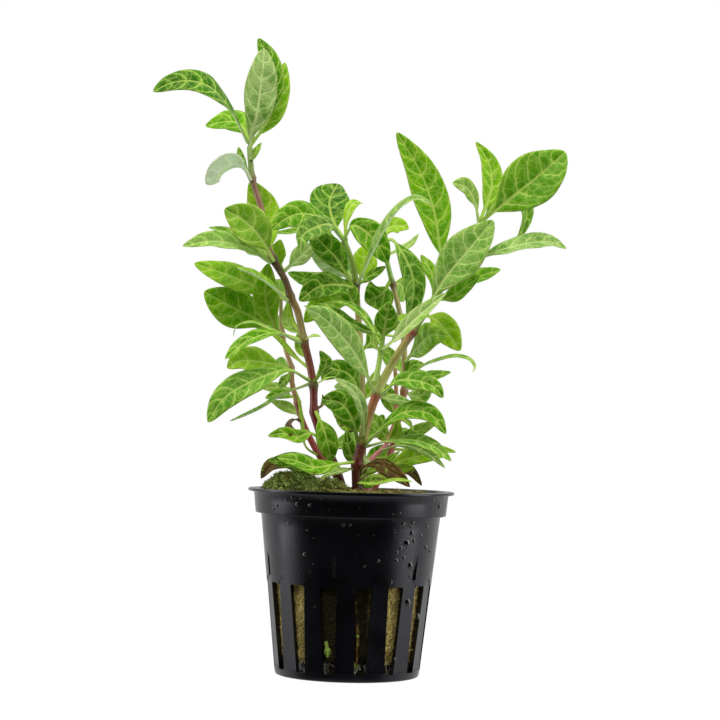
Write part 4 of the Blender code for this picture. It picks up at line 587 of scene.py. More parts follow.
class Leaf:
    """A leaf as a surface around its midrib: a narrow stalk, then a blade that tapers to the tip."""

    def __init__(self, index, stem, width, facing, route, fused):
        self.stem, self.width, self.facing, self.route, self.fused = stem, width, facing, route, fused
        self.fold = math.radians(LEAST_FOLD_DEG + FOLD_SPREAD_DEG * ((index * FOLD_TURN) % 1))
        self.widest = WIDEST_FROM + WIDEST_SPREAD * ((index * WIDEST_TURN) % 1)
        self.push = 0.0
        self.layer = route[len(route) // 2][2]

    def controls(self):
        """The route's points in space, the first on the stem and the rest moved by the push."""
        shares = np.linspace(0, 1, len(self.route))
        pts = [seen(x, z, d + self.push * s) for (x, z, d), s in zip(self.route, shares)]
        nearest = np.argmin(np.linalg.norm(self.stem.fine - pts[0], axis=1))
        axis_point = self.stem.fine[nearest]
        if self.fused:
            pts[0] = self.stem.fine[min(nearest, ROUTE_STEPS - 6)]
        else:
            after, before = min(nearest + 1, ROUTE_STEPS - 1), max(nearest - 1, 0)
            along = unit(self.stem.fine[after] - self.stem.fine[before])
            out = pts[1] - axis_point
            if nearest < ROUTE_STEPS - 3:
                out = out - along * np.dot(out, along)
            pts[0] = axis_point + unit(out) * (self.stem.fine_radius[nearest] * 1.06 + GAP)
        return pts

    def surface(self, stations):
        """Midrib points, side and upper directions and half widths at shares of the length."""
        fine = smooth_route(self.controls(), LEAF_STEPS + 1)
        middle = LEAF_STEPS // 2
        tangents = unit(np.gradient(fine, axis=0))
        chord = fine[-1] - fine[0]
        across = unit(np.array([-chord[2], 0.0, chord[0]]))
        sides = carried_sideways(tangents, middle, across)
        normals = np.cross(sides, tangents)
        if normals[middle][1] > 0:
            normals = -normals
        upright = abs(sides[middle][2]) < 0.35
        sign = np.sign(sides[middle][0] if upright else sides[middle][2]) or 1.0
        turns = np.radians(np.linspace(self.facing[0], self.facing[1], LEAF_STEPS + 1))[:, None]
        upper = np.cos(turns) * normals + np.sin(turns) * sides * sign
        lateral = np.cross(upper, tangents)
        stations = np.asarray(stations)
        at = stations * LEAF_STEPS

        def pick(values):
            steps = np.arange(LEAF_STEPS + 1)
            return np.stack([np.interp(at, steps, values[:, i]) for i in range(3)], axis=1)

        blade = np.clip((stations - PETIOLE_SHARE) / (1 - PETIOLE_SHARE), 0, 1)
        rise = math.log(0.5) / math.log(self.widest)
        fullness = BLADE_FULLNESS - TIP_BLUNTNESS * blade ** 2
        half = self.width / 2 * np.sin(math.pi * blade ** rise) ** fullness
        stalk = min(STALK_HALF_WIDTH, 0.3 * self.width) * (1 - 0.6 * stations)
        half = np.where(stations < 0.8, np.maximum(half, stalk), half)
        return pick(fine), unit(pick(lateral)), unit(pick(upper)), half

    def samples(self):
        """Points spread over the blade with the share of the length that each lies at."""
        stations = np.linspace(0.08, 1, 15)
        rib, lateral, upper, half = self.surface(stations)
        points, shares = [], []
        for across in (-1, -0.5, 0, 0.5, 1):
            width = (half * across)[:, None]
            points.append(rib + lateral * width * math.cos(self.fold)
                          + upper * np.abs(width) * math.sin(self.fold))
            shares.append(stations)
        return np.vstack(points), np.concatenate(shares)


def spread(leaves, stems):
    """Push leaves that meet in the front view apart in depth, in the order of their given depths."""
    obstacles = [(stem, stem.fine[::3], stem.fine_radius[::3]) for stem in stems.values()]
    for _ in range(SPREAD_ROUNDS):
        sampled = [leaf.samples() for leaf in leaves]
        lows = np.array([points.min(axis=0) for points, _ in sampled]) - 1.0
        highs = np.array([points.max(axis=0) for points, _ in sampled]) + 1.0
        moves = np.zeros(len(leaves))
        for i, first in enumerate(leaves):
            near_boxes = np.all((lows[i, [0, 2]] < highs[i + 1:][:, [0, 2]])
                                & (highs[i, [0, 2]] > lows[i + 1:][:, [0, 2]]), axis=1)
            for j in i + 1 + np.nonzero(near_boxes)[0]:
                front, back = (i, j) if first.layer <= leaves[j].layer else (j, i)
                points_a, shares_a = sampled[front]
                points_b, shares_b = sampled[back]
                flat = np.linalg.norm(points_a[:, None, [0, 2]] - points_b[None, :, [0, 2]], axis=2)
                room = points_b[None, :, 1] - points_a[:, None, 1]
                lack = np.where(flat < MEETING_REACH, CLEARANCE - room, -1.0)
                at_base = (shares_a[:, None] < SHARED_BASE) & (shares_b[None, :] < SHARED_BASE)
                lack = np.where(at_base & (first.stem is leaves[j].stem), -1.0, lack)
                a, b = np.unravel_index(np.argmax(lack), lack.shape)
                if lack[a, b] > 0:
                    step = min(lack[a, b], LONGEST_STEP) * 0.5
                    weight_a, weight_b = shares_a[a], shares_b[b]
                    total = weight_a + weight_b
                    moves[front] -= step * weight_a / total
                    moves[back] += step * weight_b / total
            points, shares = sampled[i]
            for stem, line, radius in obstacles:
                flat = np.linalg.norm(points[:, None, [0, 2]] - line[None, :, [0, 2]], axis=2)
                depth = line[None, :, 1] - points[:, None, 1]
                stem_depth = np.interp(points[:, 2].mean(), line[:, 2], line[:, 1])
                behind = np.sign(first.layer - stem_depth) or 1.0
                needed = radius[None, :] + 1.0
                lack = np.where(flat < needed, needed + behind * depth, -1.0)
                if stem is first.stem:
                    lack = np.where(shares[:, None] < OWN_STEM_BASE, -1.0, lack)
                a, b = np.unravel_index(np.argmax(lack), lack.shape)
                if lack[a, b] > 0:
                    moves[i] += behind * min(lack[a, b], LONGEST_STEP) * 0.5
        if not moves.any():
            break
        for leaf, move in zip(leaves, moves):
            leaf.push += float(np.clip(move, -LONGEST_PUSH, LONGEST_PUSH))


def ring_mesh(profile, segments):
    """Points and faces of a profile of (radius, height) turned about Z, with its ends on the axis."""
    points, faces, rows = [], [], []
    for radius, height in profile:
        if radius == 0:
            points.append((0.0, 0.0, height))
            rows.append([len(points) - 1] * segments)
            continue
        start = len(points)
        for k in range(segments):
            turn = 2 * math.pi * k / segments
            points.append((radius * math.cos(turn), radius * math.sin(turn), height))
        rows.append(list(range(start, start + segments)))
    for low, high in zip(rows, rows[1:]):
        for k in range(segments):
            corners = [low[k], low[(k + 1) % segments], high[(k + 1) % segments], high[k]]
            faces.append(tuple(dict.fromkeys(corners)))
    return points, faces


def ring(radius, turns, heights):
    """Points at this distance from the pot's axis."""
    return np.stack([radius * np.cos(turns), radius * np.sin(turns), heights], axis=1)


def ring_faces(count, sides):
    """Faces between rings of points that each close on themselves."""
    index = np.arange(count * sides).reshape(count, sides)
    after = np.roll(index, -1, axis=1)
    return np.stack([index[:-1], after[:-1], after[1:], index[1:]], axis=-1).reshape(-1, 4).tolist()


def wall_radius(height):
    """Outer radius of the tapered wall below the collar."""
    return BASE_RADIUS + (WALL_TOP_RADIUS - BASE_RADIUS) * height / WALL_TOP


def screen(r, g, b):
    """A screen colour as linear light."""
    return tuple(((v / 255 + 0.055) / 1.055) ** 2.4 for v in (r, g, b)) + (1.0,)


def screens(*colours):
    return [screen(*colour) for colour in colours]


class Graph:
    """A node tree under construction: each method adds a node and returns its output."""

    def __init__(self, tree):
        self.tree = tree

    def feed(self, socket, value):
        if isinstance(value, bpy.types.NodeSocket):
            self.tree.links.new(value, socket)
        else:
            socket.default_value = value

    def node(self, kind, inputs, output=0, **settings):
        node = self.tree.nodes.new(kind)
        for key, value in settings.items():
            setattr(node, key, value)
        for key, value in inputs.items():
            self.feed(node.inputs[key], value)
        return node.outputs[output]

    def arithmetic(self, operation, a, b=0.0):
        return self.node("ShaderNodeMath", {0: a, 1: b}, operation=operation)

    def plus(self, a, b):
        return self.arithmetic("ADD", a, b)

    def minus(self, a, b):
        return self.arithmetic("SUBTRACT", a, b)

    def times(self, a, b):
        return self.arithmetic("MULTIPLY", a, b)

    def size(self, value):
        return self.arithmetic("ABSOLUTE", value)

    def mix(self, share, a, b):
        """A colour between two colours."""
        return self.node("ShaderNodeMix", {0: share, 6: a, 7: b}, 2, data_type="RGBA")

    def blend(self, share, a, b):
        """A number between two numbers."""
        return self.node("ShaderNodeMix", {0: share, 2: a, 3: b}, 0, data_type="FLOAT")

    def step(self, value, low, high, start=0.0, end=1.0):
        """A soft step from start, where value is low, to end, where it is high."""
        inputs = {"Value": value, "From Min": low, "From Max": high, "To Min": start, "To Max": end}
        return self.node("ShaderNodeMapRange", inputs, interpolation_type="SMOOTHSTEP")

    def parts(self, vector):
        node = self.tree.nodes.new("ShaderNodeSeparateXYZ")
        self.feed(node.inputs[0], vector)
        return node.outputs[:]


class Shade(Graph):
    """A material under construction."""

    def __init__(self, name, **values):
        self.material = bpy.data.materials.new(name)
        self.material.use_nodes = True
        super().__init__(self.material.node_tree)
        self.shader = self.tree.nodes["Principled BSDF"]
        for key, value in values.items():
            self.shader.inputs[key.replace("_", " ")].default_value = value

    def attribute(self, name, output="Vector"):
        return self.node("ShaderNodeAttribute", {}, output, attribute_name=name)

    def stretched(self, vector, factors):
        return self.node("ShaderNodeVectorMath", {0: vector, 1: factors}, operation="MULTIPLY")

    def noise(self, vector, scale, detail=2.0):
        return self.node("ShaderNodeTexNoise", {"Vector": vector, "Scale": scale, "Detail": detail})

    def cells(self, vector, scale, feature="DISTANCE_TO_EDGE"):
        return self.node("ShaderNodeTexVoronoi", {"Vector": vector, "Scale": scale}, "Distance",
                         feature=feature)

    def ramp(self, value, stops):
        """Colour by value, from stops of value and screen colour."""
        node = self.tree.nodes.new("ShaderNodeValToRGB")
        self.feed(node.inputs[0], value)
        elements = node.color_ramp.elements
        while len(elements) < len(stops):
            elements.new(0.5)
        for element, (place, colour) in zip(elements, stops):
            element.position, element.color = place, screen(*colour)
        return node.outputs[0]

    def millimetres(self):
        where = self.node("ShaderNodeTexCoord", {}, "Object")
        return self.stretched(where, (1 / MM, 1 / MM, 1 / MM))

    def bump(self, height, distance, strength=1.0):
        inputs = {"Height": height, "Distance": distance * MM, "Strength": strength}
        self.tree.links.new(self.node("ShaderNodeBump", inputs), self.shader.inputs["Normal"])

    def finish(self, colour=None, roughness=None):
        if colour is not None:
            self.feed(self.shader.inputs["Base Color"], colour)
        if roughness is not None:
            self.feed(self.shader.inputs["Roughness"], roughness)
        return self.material


def leaf_material(name, under):
    """Leaf skin with midrib, side veins and a fine net between them, from the leaf's own attributes."""
    shade = Shade(name, Specular_IOR_Level=0.2 if under else 0.12, Specular_Tint=(1.0, 1.0, 0.55, 1.0))
    place = shade.attribute("place")
    across = shade.parts(place)[0]
    phase, spacing, strength = shade.parts(shade.attribute("veins"))
    tone, painted_sheen, age = shade.parts(shade.attribute("look"))
    sideways, run = shade.parts(shade.attribute("UVMap"))[:2]
    off_rib = shade.size(shade.minus(shade.times(sideways, 2.0), 1.0))
    broad = shade.noise(place, 0.22, 3.0)
    fine = shade.noise(place, 2.6, 2.0)

    wobble = shade.times(shade.minus(shade.noise(place, 0.45, 3.0), 0.5), 0.5)
    turned = shade.arithmetic("FRACT", shade.plus(shade.plus(phase, wobble), 0.5))
    aside = shade.times(shade.size(shade.minus(turned, 0.5)), spacing)
    vein_width = shade.step(off_rib, 0.0, 1.0, 0.36, 0.22)
    vein = shade.step(aside, shade.times(vein_width, 0.35), vein_width, 1.0, 0.0)
    halo = shade.step(aside, 0.1, 1.7, 1.0, 0.0)
    rib_width = shade.step(run, 0.0, 1.0, 0.62, 0.2)
    far = shade.size(across)
    rib = shade.step(far, shade.times(rib_width, 0.55), rib_width, 1.0, 0.0)
    drift = shade.node("ShaderNodeTexNoise", {"Vector": place, "Scale": 0.9}, "Color")
    bent = shade.node("ShaderNodeVectorMath", {0: drift, 1: place}, operation="ADD")
    net_edge = shade.cells(shade.stretched(bent, (0.8, 1.25, 1.0)), 0.42)
    net = shade.step(net_edge, 0.02, 0.12, 1.0, 0.0)
    vein = shade.times(vein, shade.step(broad, 0.3, 0.55, 0.5, 1.0))

    dark, middle, light, *rest = UNDER_COLOURS if under else UPPER_COLOURS
    vein_colour, painted_sheen_colour, painted_sheen_vein = screens(*rest)
    level = shade.plus(tone, shade.times(shade.minus(broad, 0.5), 0.7))
    level = shade.plus(level, shade.times(halo, 0.16))
    level = shade.plus(level, shade.times(shade.minus(fine, 0.5), 0.25))
    level = shade.minus(level, 0.04)
    colour = shade.ramp(level, [(0.0, dark), (0.5, middle), (1.0, light)])
    # Painted sheen: silvery patches and paler veins mixed into the colour stand for the leaf's gloss
    # reflecting the bright surroundings
    cloudy = shade.plus(broad, shade.times(fine, 0.6))
    sheen = shade.times(painted_sheen, shade.step(cloudy, 0.5, 1.0, 0.2, 1.0))
    colour = shade.mix(sheen, colour, painted_sheen_colour)
    vein_colour = shade.mix(painted_sheen, vein_colour, painted_sheen_vein)
    colour = shade.mix(shade.times(net, shade.times(strength, 0.3)), colour, vein_colour)
    lines = shade.arithmetic("MAXIMUM", shade.times(vein, strength), shade.times(rib, 0.9))
    colour = shade.mix(shade.times(lines, 0.74), colour, vein_colour)
    margin = shade.step(off_rib, 0.93, 1.0, 0.0, 0.35)
    colour = shade.mix(margin, colour, vein_colour)

    spots = shade.noise(place, 0.6, 4.0)
    limit = shade.step(age, 0.0, 1.0, 0.72, 0.3)
    worn = shade.step(spots, limit, shade.plus(limit, 0.06))
    worn = shade.times(worn, shade.step(age, 0.02, 0.15))
    streaks = shade.noise(shade.stretched(place, (3.0, 0.35, 1.0)), 1.0, 3.0)
    colour = shade.mix(worn, colour, shade.ramp(streaks, WITHERED_STOPS))

    height = shade.minus(shade.times(fine, 0.25), shade.times(lines, -0.8 if under else 0.8))
    height = shade.minus(height, shade.times(net, 0.3))
    shade.bump(height, 0.12, 0.7)
    rough = shade.plus(shade.times(fine, 0.25), 0.5 if under else 0.3)
    shade.shader.inputs["Subsurface Weight"].default_value = 0.12
    shade.shader.inputs["Subsurface Radius"].default_value = (0.4, 1.0, 0.15)
    shade.shader.inputs["Subsurface Scale"].default_value = MM
    return shade.finish(colour, rough)


def stem_material():
    shade = Shade("stem", Specular_IOR_Level=0.5)
    place = shade.attribute("place")
    tint = shade.attribute("tint", "Color")
    stripes = shade.noise(shade.stretched(place, (2.6, 0.12, 1.0)), 1.0, 3.0)
    blotches = shade.noise(place, 0.9, 3.0)
    level = shade.plus(shade.times(stripes, 0.8), shade.times(blotches, 0.5))
    darker = shade.mix(0.38, tint, (0.01, 0.006, 0.003, 1))
    lighter = shade.mix(0.42, tint, screen(*BARK_LIGHT))
    colour = shade.mix(shade.step(level, 0.35, 0.65), darker, tint)
    colour = shade.mix(shade.step(level, 0.68, 0.95), colour, lighter)
    shade.bump(level, 0.12, 0.8)
    return shade.finish(colour, shade.step(blotches, 0.2, 0.8, 0.3, 0.5))


def pot_material():
    shade = Shade("pot_plastic", Specular_IOR_Level=0.42, Specular_Tint=(0.88, 0.88, 1.0, 1.0))
    where = shade.millimetres()
    grain = shade.noise(where, 5.0, 2.0)
    cloud = shade.noise(where, 0.12, 3.0)
    scratch = shade.noise(shade.stretched(where, (0.6, 0.6, 0.05)), 1.6, 4.0)
    scuff = shade.step(scratch, 0.64, 0.74, 0.0, 0.5)
    colour = shade.mix(scuff, *screens(PLASTIC, SCUFFED))
    dust = shade.step(shade.cells(where, 0.35, "F1"), 0.03, 0.075, 0.6, 0.0)
    colour = shade.mix(dust, colour, screen(*DUST))
    rough = shade.plus(shade.step(cloud, 0.3, 0.7, 0.24, 0.32), shade.times(scuff, 0.1))
    shade.bump(grain, 0.015, 0.5)
    return shade.finish(colour, rough)


def drop_material():
    shade = Shade("drop", Specular_IOR_Level=0.8)
    where = shade.millimetres()
    # Painted dark: the near-black colour stands for the pot seen through the clear water.
    colour = shade.mix(shade.noise(where, 0.8), *screens(*DROP_PAINTED_DARKS))
    return shade.finish(colour, 0.03)


def wool_material(name, strand):
    """Rock wool: the body takes a darker copy as painted shade and the strands a lighter copy as painted
    light; the front middle gets painted shade.
    """
    shade = Shade(name, Specular_IOR_Level=0.2)
    where = shade.millimetres()
    side, depth, height = shade.parts(where)
    fine = shade.noise(where, 2.4, 4.0)
    broad = shade.noise(where, 0.16, 3.0)
    shades = STRAND_PAINTED_LIGHT if strand else WOOL_BODY_PAINTED_SHADE
    colour = shade.mix(shade.step(fine, 0.3, 0.7), *screens(*shades))
    stained = shade.step(broad, 0.56, 0.7, 0.0, 0.75)
    colour = shade.mix(stained, colour, screen(*WOOL_STAIN))
    # Painted shade: the front middle of the wool below its top is darkened almost to black, for the
    # unlit inside seen through the front slots.
    painted_shade = shade.step(shade.size(shade.plus(side, 2.5)), 7.0, 10.5, 1.0, 0.0)
    painted_shade = shade.times(painted_shade, shade.step(depth, -12.0, 0.0, 0.96, 0.0))
    painted_shade = shade.times(painted_shade, shade.step(height, 44.0, 47.0, 1.0, 0.0))
    colour = shade.mix(painted_shade, colour, screen(*WOOL_PAINTED_SHADE))
    algae = shade.times(shade.step(height, 45.5, 47.8), shade.step(fine, 0.35, 0.7, 0.2, 0.75))
    colour = shade.mix(algae, colour, screen(*WOOL_ALGAE))
    shade.bump(fine, 0.25, 0.6)
    return shade.finish(colour, 0.95)


def moss_material():
    shade = Shade("moss", Specular_IOR_Level=0.25)
    where = shade.millimetres()
    fine = shade.noise(where, 1.1, 4.0)
    broad = shade.noise(where, 0.22, 2.0)
    colour = shade.ramp(fine, MOSS_STOPS)
    colour = shade.mix(shade.step(broad, 0.5, 0.68, 0.0, 0.7), colour, screen(*MOSS_DRY))
    shade.bump(fine, 0.4, 0.8)
    return shade.finish(colour, 0.85)


def root_material():
    shade = Shade("root", Specular_IOR_Level=0.3)
    where = shade.millimetres()
    colour = shade.mix(shade.noise(where, 1.4, 3.0), *screens(*ROOT_SHADES))
    shade.bump(shade.noise(where, 3.0), 0.1, 0.6)
    return shade.finish(colour, 0.7)


def add_piece(name, points, faces, materials, slots=None):
    """A smooth mesh from points in millimetres, riding on the plant."""
    mesh = bpy.data.meshes.new(name)
    mesh.from_pydata((np.asarray(points) * MM).tolist(), [], faces)
    for material in materials:
        mesh.materials.append(material)
    if slots is not None:
        mesh.polygons.foreach_set("material_index", slots)
    mesh.polygons.foreach_set("use_smooth", [True] * len(mesh.polygons))
    mesh.update()
    piece = bpy.data.objects.new(name, mesh)
    bpy.context.scene.collection.objects.link(piece)
    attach(piece, "root")
    return piece


def set_vectors(mesh, name, values):
    layer = mesh.attributes.new(name, "FLOAT_VECTOR", "POINT")
    layer.data.foreach_set("vector", np.asarray(values, np.float32).ravel())


def set_uv(mesh, values):
    corners = np.zeros(len(mesh.loops), np.int32)
    mesh.loops.foreach_get("vertex_index", corners)
    layer = mesh.uv_layers.new(name="UVMap")
    layer.data.foreach_set("uv", np.asarray(values, np.float32)[corners].ravel())


def leaf_grid(leaf, look, seed, along, across):
    """One leaf as two close sheets that share their margin: points, faces, slots and attributes."""
    local = np.random.default_rng(seed)
    stations = np.linspace(0, LAST_STATION, along)
    eased = 0.5 - 0.5 * np.cos(math.pi * stations / LAST_STATION)
    stations = 0.4 * stations + 0.6 * LAST_STATION * eased
    rib, lateral, upper, half = leaf.surface(stations)
    length = np.sum(np.linalg.norm(np.diff(rib, axis=0), axis=1))
    rib = np.vstack([rib[0] - unit(rib[1] - rib[0]) * 0.6, rib])
    lateral, upper = np.vstack([lateral[:1], lateral]), np.vstack([upper[:1], upper])
    half, stations = np.concatenate([half[:1], half]), np.concatenate([[0.0], stations])
    u = np.linspace(-1, 1, across)
    u = 0.75 * u + 0.25 * np.sin(u * math.pi / 2)
    side = u[None, :]
    share = stations[:, None]
    x = half[:, None] * side
    widest = max(half.max(), 0.5)
    blade = np.clip((share - PETIOLE_SHARE) / 0.12, 0, 1) * np.clip((1 - share) / 0.1, 0, 1)

    pairs = int(np.clip(round(length / VEIN_SPACING), *VEIN_PAIRS))
    spacing = length / pairs
    lean = np.where(side < 0, local.uniform(*VEIN_LEAN), local.uniform(*VEIN_LEAN))
    loop = np.where(side < 0, local.uniform(*VEIN_LOOP), local.uniform(*VEIN_LOOP))
    phase = pairs * share - lean * np.abs(x) / spacing - loop * np.abs(side) ** 5 + local.uniform(0, 1)
    slope = lean + loop * 5 * side ** 4 * spacing / np.maximum(half[:, None], 1.0)
    apart = spacing / np.sqrt(1 + slope ** 2)

    ends = np.sin(math.pi * share)
    wave = np.zeros_like(x)
    for sign in (-1, 1):
        swings = local.uniform(*WAVE_COUNTS)
        start = local.uniform(0, 2 * math.pi)
        one_side = np.where(side * sign > 0, side ** 2, 0)
        wave += one_side * np.sin(2 * math.pi * swings * share + start) * ends
    wave *= WAVE_SHARE * widest * local.uniform(0.6, 1.4)
    pucker = PUCKER * np.minimum(1, widest / 5) * (0.5 - 0.5 * np.cos(2 * math.pi * phase)) * blade
    pucker = pucker * (1 - np.abs(side) ** 3) * np.minimum(1, np.abs(side) * 4)
    soft = np.sqrt(side ** 2 + 0.015) - math.sqrt(0.015)
    droop = local.uniform(-0.02, 0.1) * half[:, None] * side ** 4
    lift = half[:, None] * soft * math.sin(leaf.fold) + wave + pucker - droop

    centre = rib[:, None, :] + lateral[:, None, :] * (x * math.cos(leaf.fold))[:, :, None]
    centre = centre + upper[:, None, :] * lift[:, :, None]
    stalk = np.clip(1 - share / (PETIOLE_SHARE * 1.6), 0, 1)
    ending = np.clip((1 - share) / 0.04, 0, 1)
    thick = (BLADE_HALF_THICKNESS + 0.25 * stalk * np.minimum(half[:, None], 0.6)) * ending
    body = thick * (1 - side ** 4)
    size = np.minimum(1, widest / 4)
    groove = GROOVE_DEPTH * np.exp(-(x / GROOVE_WIDTH) ** 2) * (1 - stalk) * ending * size
    ridge = (0.12 + 0.3 * (1 - share)) * np.exp(-(x / RIDGE_WIDTH) ** 2) * ending * size
    shut = np.abs(side) < 0.999
    above = centre + upper[:, None, :] * (body - groove * shut)[:, :, None]
    below = centre - upper[:, None, :] * (body + ridge * shut)[:, :, None]

    rows, columns = x.shape
    upper_index = np.arange(rows * columns).reshape(rows, columns)
    own = np.zeros((rows, columns), bool)
    own[:-1, 1:-1] = True
    lower_index = upper_index.copy()
    lower_index[own] = rows * columns + np.arange(own.sum())
    points = np.vstack([above.reshape(-1, 3), below[own]])

    def quads(index, flip):
        corners = [index[:-1, :-1], index[1:, :-1], index[1:, 1:], index[:-1, 1:]]
        if flip:
            corners.reverse()
        return np.stack(corners, axis=-1).reshape(-1, 4)

    faces = np.vstack([quads(upper_index, False), quads(lower_index, True)])
    slots = np.repeat([0, 1], len(faces) // 2)

    def both(values):
        grid = np.broadcast_to(values, x.shape)
        return np.concatenate([grid.ravel(), grid[own]])

    tone, painted_sheen, age = look
    strength = VEIN_STRENGTH[0] + VEIN_STRENGTH[1] * tone
    veins = np.stack([both(phase), both(apart), both(np.full_like(x, strength) * blade)], axis=1)
    place = np.stack([both(x), both(share * length), both(np.full_like(x, seed * 7.3))], axis=1)
    looks = np.stack([both(np.full_like(x, v)) for v in (tone, painted_sheen, age)], axis=1)
    uv = np.stack([both(0.5 + 0.5 * side), both(share)], axis=1)
    return points, faces, slots, veins, place, looks, uv


def leaf_piece(name, grids):
    """One mesh from one or more leaves."""
    offsets = np.cumsum([0] + [len(g[0]) for g in grids[:-1]])
    points = np.vstack([g[0] for g in grids])
    faces = np.vstack([g[1] + offset for g, offset in zip(grids, offsets)])
    slots = np.concatenate([g[2] for g in grids])
    piece = add_piece(name, points, faces.tolist(), [leaf_upper, leaf_under], slots)
    for column, attribute in ((3, "veins"), (4, "place"), (5, "look")):
        set_vectors(piece.data, attribute, np.vstack([g[column] for g in grids]))
    set_uv(piece.data, np.vstack([g[6] for g in grids]))
    return piece


def stem_piece(name, stem):
    """A stem as a fine, slightly four-sided tube with a ring at each node."""
    line = stem.fine.copy()
    radius = stem.fine_radius.copy()
    for height in stem.nodes:
        radius += NODE_RING_HEIGHT * np.exp(-((line[:, 2] - height) / NODE_RING_LENGTH) ** 2)
    if name != "side_shoot":
        line = np.vstack([line[0] - [0, 0, STEM_SUNK], line])
        radius = np.concatenate([radius[:1], radius])
    tangents = unit(np.gradient(line, axis=0))
    sideways = carried_sideways(tangents, 0, np.array([1.0, 0.0, 0.0]))
    other = np.cross(tangents, sideways)
    run = np.concatenate([[0], np.cumsum(np.linalg.norm(np.diff(line, axis=0), axis=1))])
    radius = radius * np.clip((run[-1] - run) / 0.8 + 0.05, 0, 1) ** 0.5
    turn = np.linspace(0, 2 * math.pi, STEM_SIDES, endpoint=False)
    profile = 1 + 0.07 * np.cos(4 * turn) + 0.02 * np.cos(9 * turn)
    rings = radius[:, None] * profile[None, :]
    points = line[:, None, :] + rings[:, :, None] * (np.cos(turn)[None, :, None] * sideways[:, None, :]
                                                     + np.sin(turn)[None, :, None] * other[:, None, :])
    count = len(line)
    total = count * STEM_SIDES
    faces = ring_faces(count, STEM_SIDES)
    faces += [list(reversed(range(STEM_SIDES))), list(range(total - STEM_SIDES, total))]
    piece = add_piece(f"{name}_bark", points.reshape(-1, 3), faces, [stem_look])
    heights, colours = zip(*STEM_COLOURS[name])
    linear = np.array([screen(*c)[:3] for c in colours])
    tint = np.stack([np.interp(line[:, 2], heights, linear[:, i]) for i in range(3)], axis=1)
    layer = piece.data.attributes.new("tint", "FLOAT_COLOR", "POINT")
    rgba = np.concatenate([np.repeat(tint, STEM_SIDES, axis=0), np.ones((total, 1))], axis=1)
    layer.data.foreach_set("color", rgba.astype(np.float32).ravel())
    place = np.stack([np.tile(turn * 1.5, count), np.repeat(run, STEM_SIDES),
                      np.full(total, 11.0 * len(name))], axis=1)
    set_vectors(piece.data, "place", place)
    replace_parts(piece, name)


def cutting_prism(turn, outline, inner, outer):
    """Points and faces of a prism that runs outward at this turn; inner is a radius for each height."""
    outward = np.array([math.sin(turn), -math.cos(turn), 0])
    along = np.array([math.cos(turn), math.sin(turn), 0])
    points = [outward * (inner(height) if near else outer) + along * side + np.array([0, 0, height])
              for near in (True, False) for side, height in outline]
    count = len(outline)
    faces = [tuple(range(count)), tuple(range(2 * count - 1, count - 1, -1))]
    faces += [(k, count + k, count + (k + 1) % count, (k + 1) % count) for k in range(count)]
    return points, faces


def joined(parts):
    """Several meshes as one."""
    points, faces = [], []
    for some_points, some_faces in parts:
        faces += [tuple(i + len(points) for i in face) for face in some_faces]
        points += [tuple(p) for p in some_points]
    return points, faces


def subtract(piece, parts):
    cutter = add_piece("cutter", *joined(parts), [])
    face_outward(cutter)
    cut = piece.modifiers.new("cut", "BOOLEAN")
    cut.operation, cut.object, cut.solver = "DIFFERENCE", cutter, "EXACT"
    apply_modifiers(piece)
    bpy.data.objects.remove(cutter)


def face_outward(piece):
    mesh = bmesh.new()
    mesh.from_mesh(piece.data)
    bmesh.ops.recalc_face_normals(mesh, faces=mesh.faces)
    mesh.to_mesh(piece.data)
    mesh.free()


def apply_modifiers(piece):
    bpy.context.view_layer.update()
    seen_piece = piece.evaluated_get(bpy.context.evaluated_depsgraph_get())
    mesh = bpy.data.meshes.new_from_object(seen_piece)
    piece.modifiers.clear()
    piece.data = mesh


def slot_outline():
    """A tapered slot with rounded upper corners, as (sideways, height)."""
    corner, half_top = SLOT_CORNER, SLOT_TOP_WIDTH / 2
    bends = np.linspace(0, math.pi / 2, 5)
    right = [(half_top - corner + corner * math.cos(a), SLOT_TOP - corner + corner * math.sin(a))
             for a in bends]
    left = [(-side, height) for side, height in reversed(right)]
    return [(-SLOT_BOTTOM_WIDTH / 2, SLOT_BOTTOM), (SLOT_BOTTOM_WIDTH / 2, SLOT_BOTTOM)] + right + left


def rib_outline():
    """The shallow recess down a rib, rounded where it ends above the slots."""
    half_low = math.pi * wall_radius(SLOT_BOTTOM) / SLOT_COUNT - SLOT_BOTTOM_WIDTH / 2 + 0.2
    half_high = math.pi * wall_radius(SLOT_TOP) / SLOT_COUNT - SLOT_TOP_WIDTH / 2 + 0.2
    bends = np.linspace(0, math.pi, 13)
    arch = [(half_high * math.cos(a), SLOT_TOP - 0.8 + half_high * 1.05 * math.sin(a)) for a in bends]
    return [(-half_low, SLOT_BOTTOM + 0.4), (half_low, SLOT_BOTTOM + 0.4)] + arch


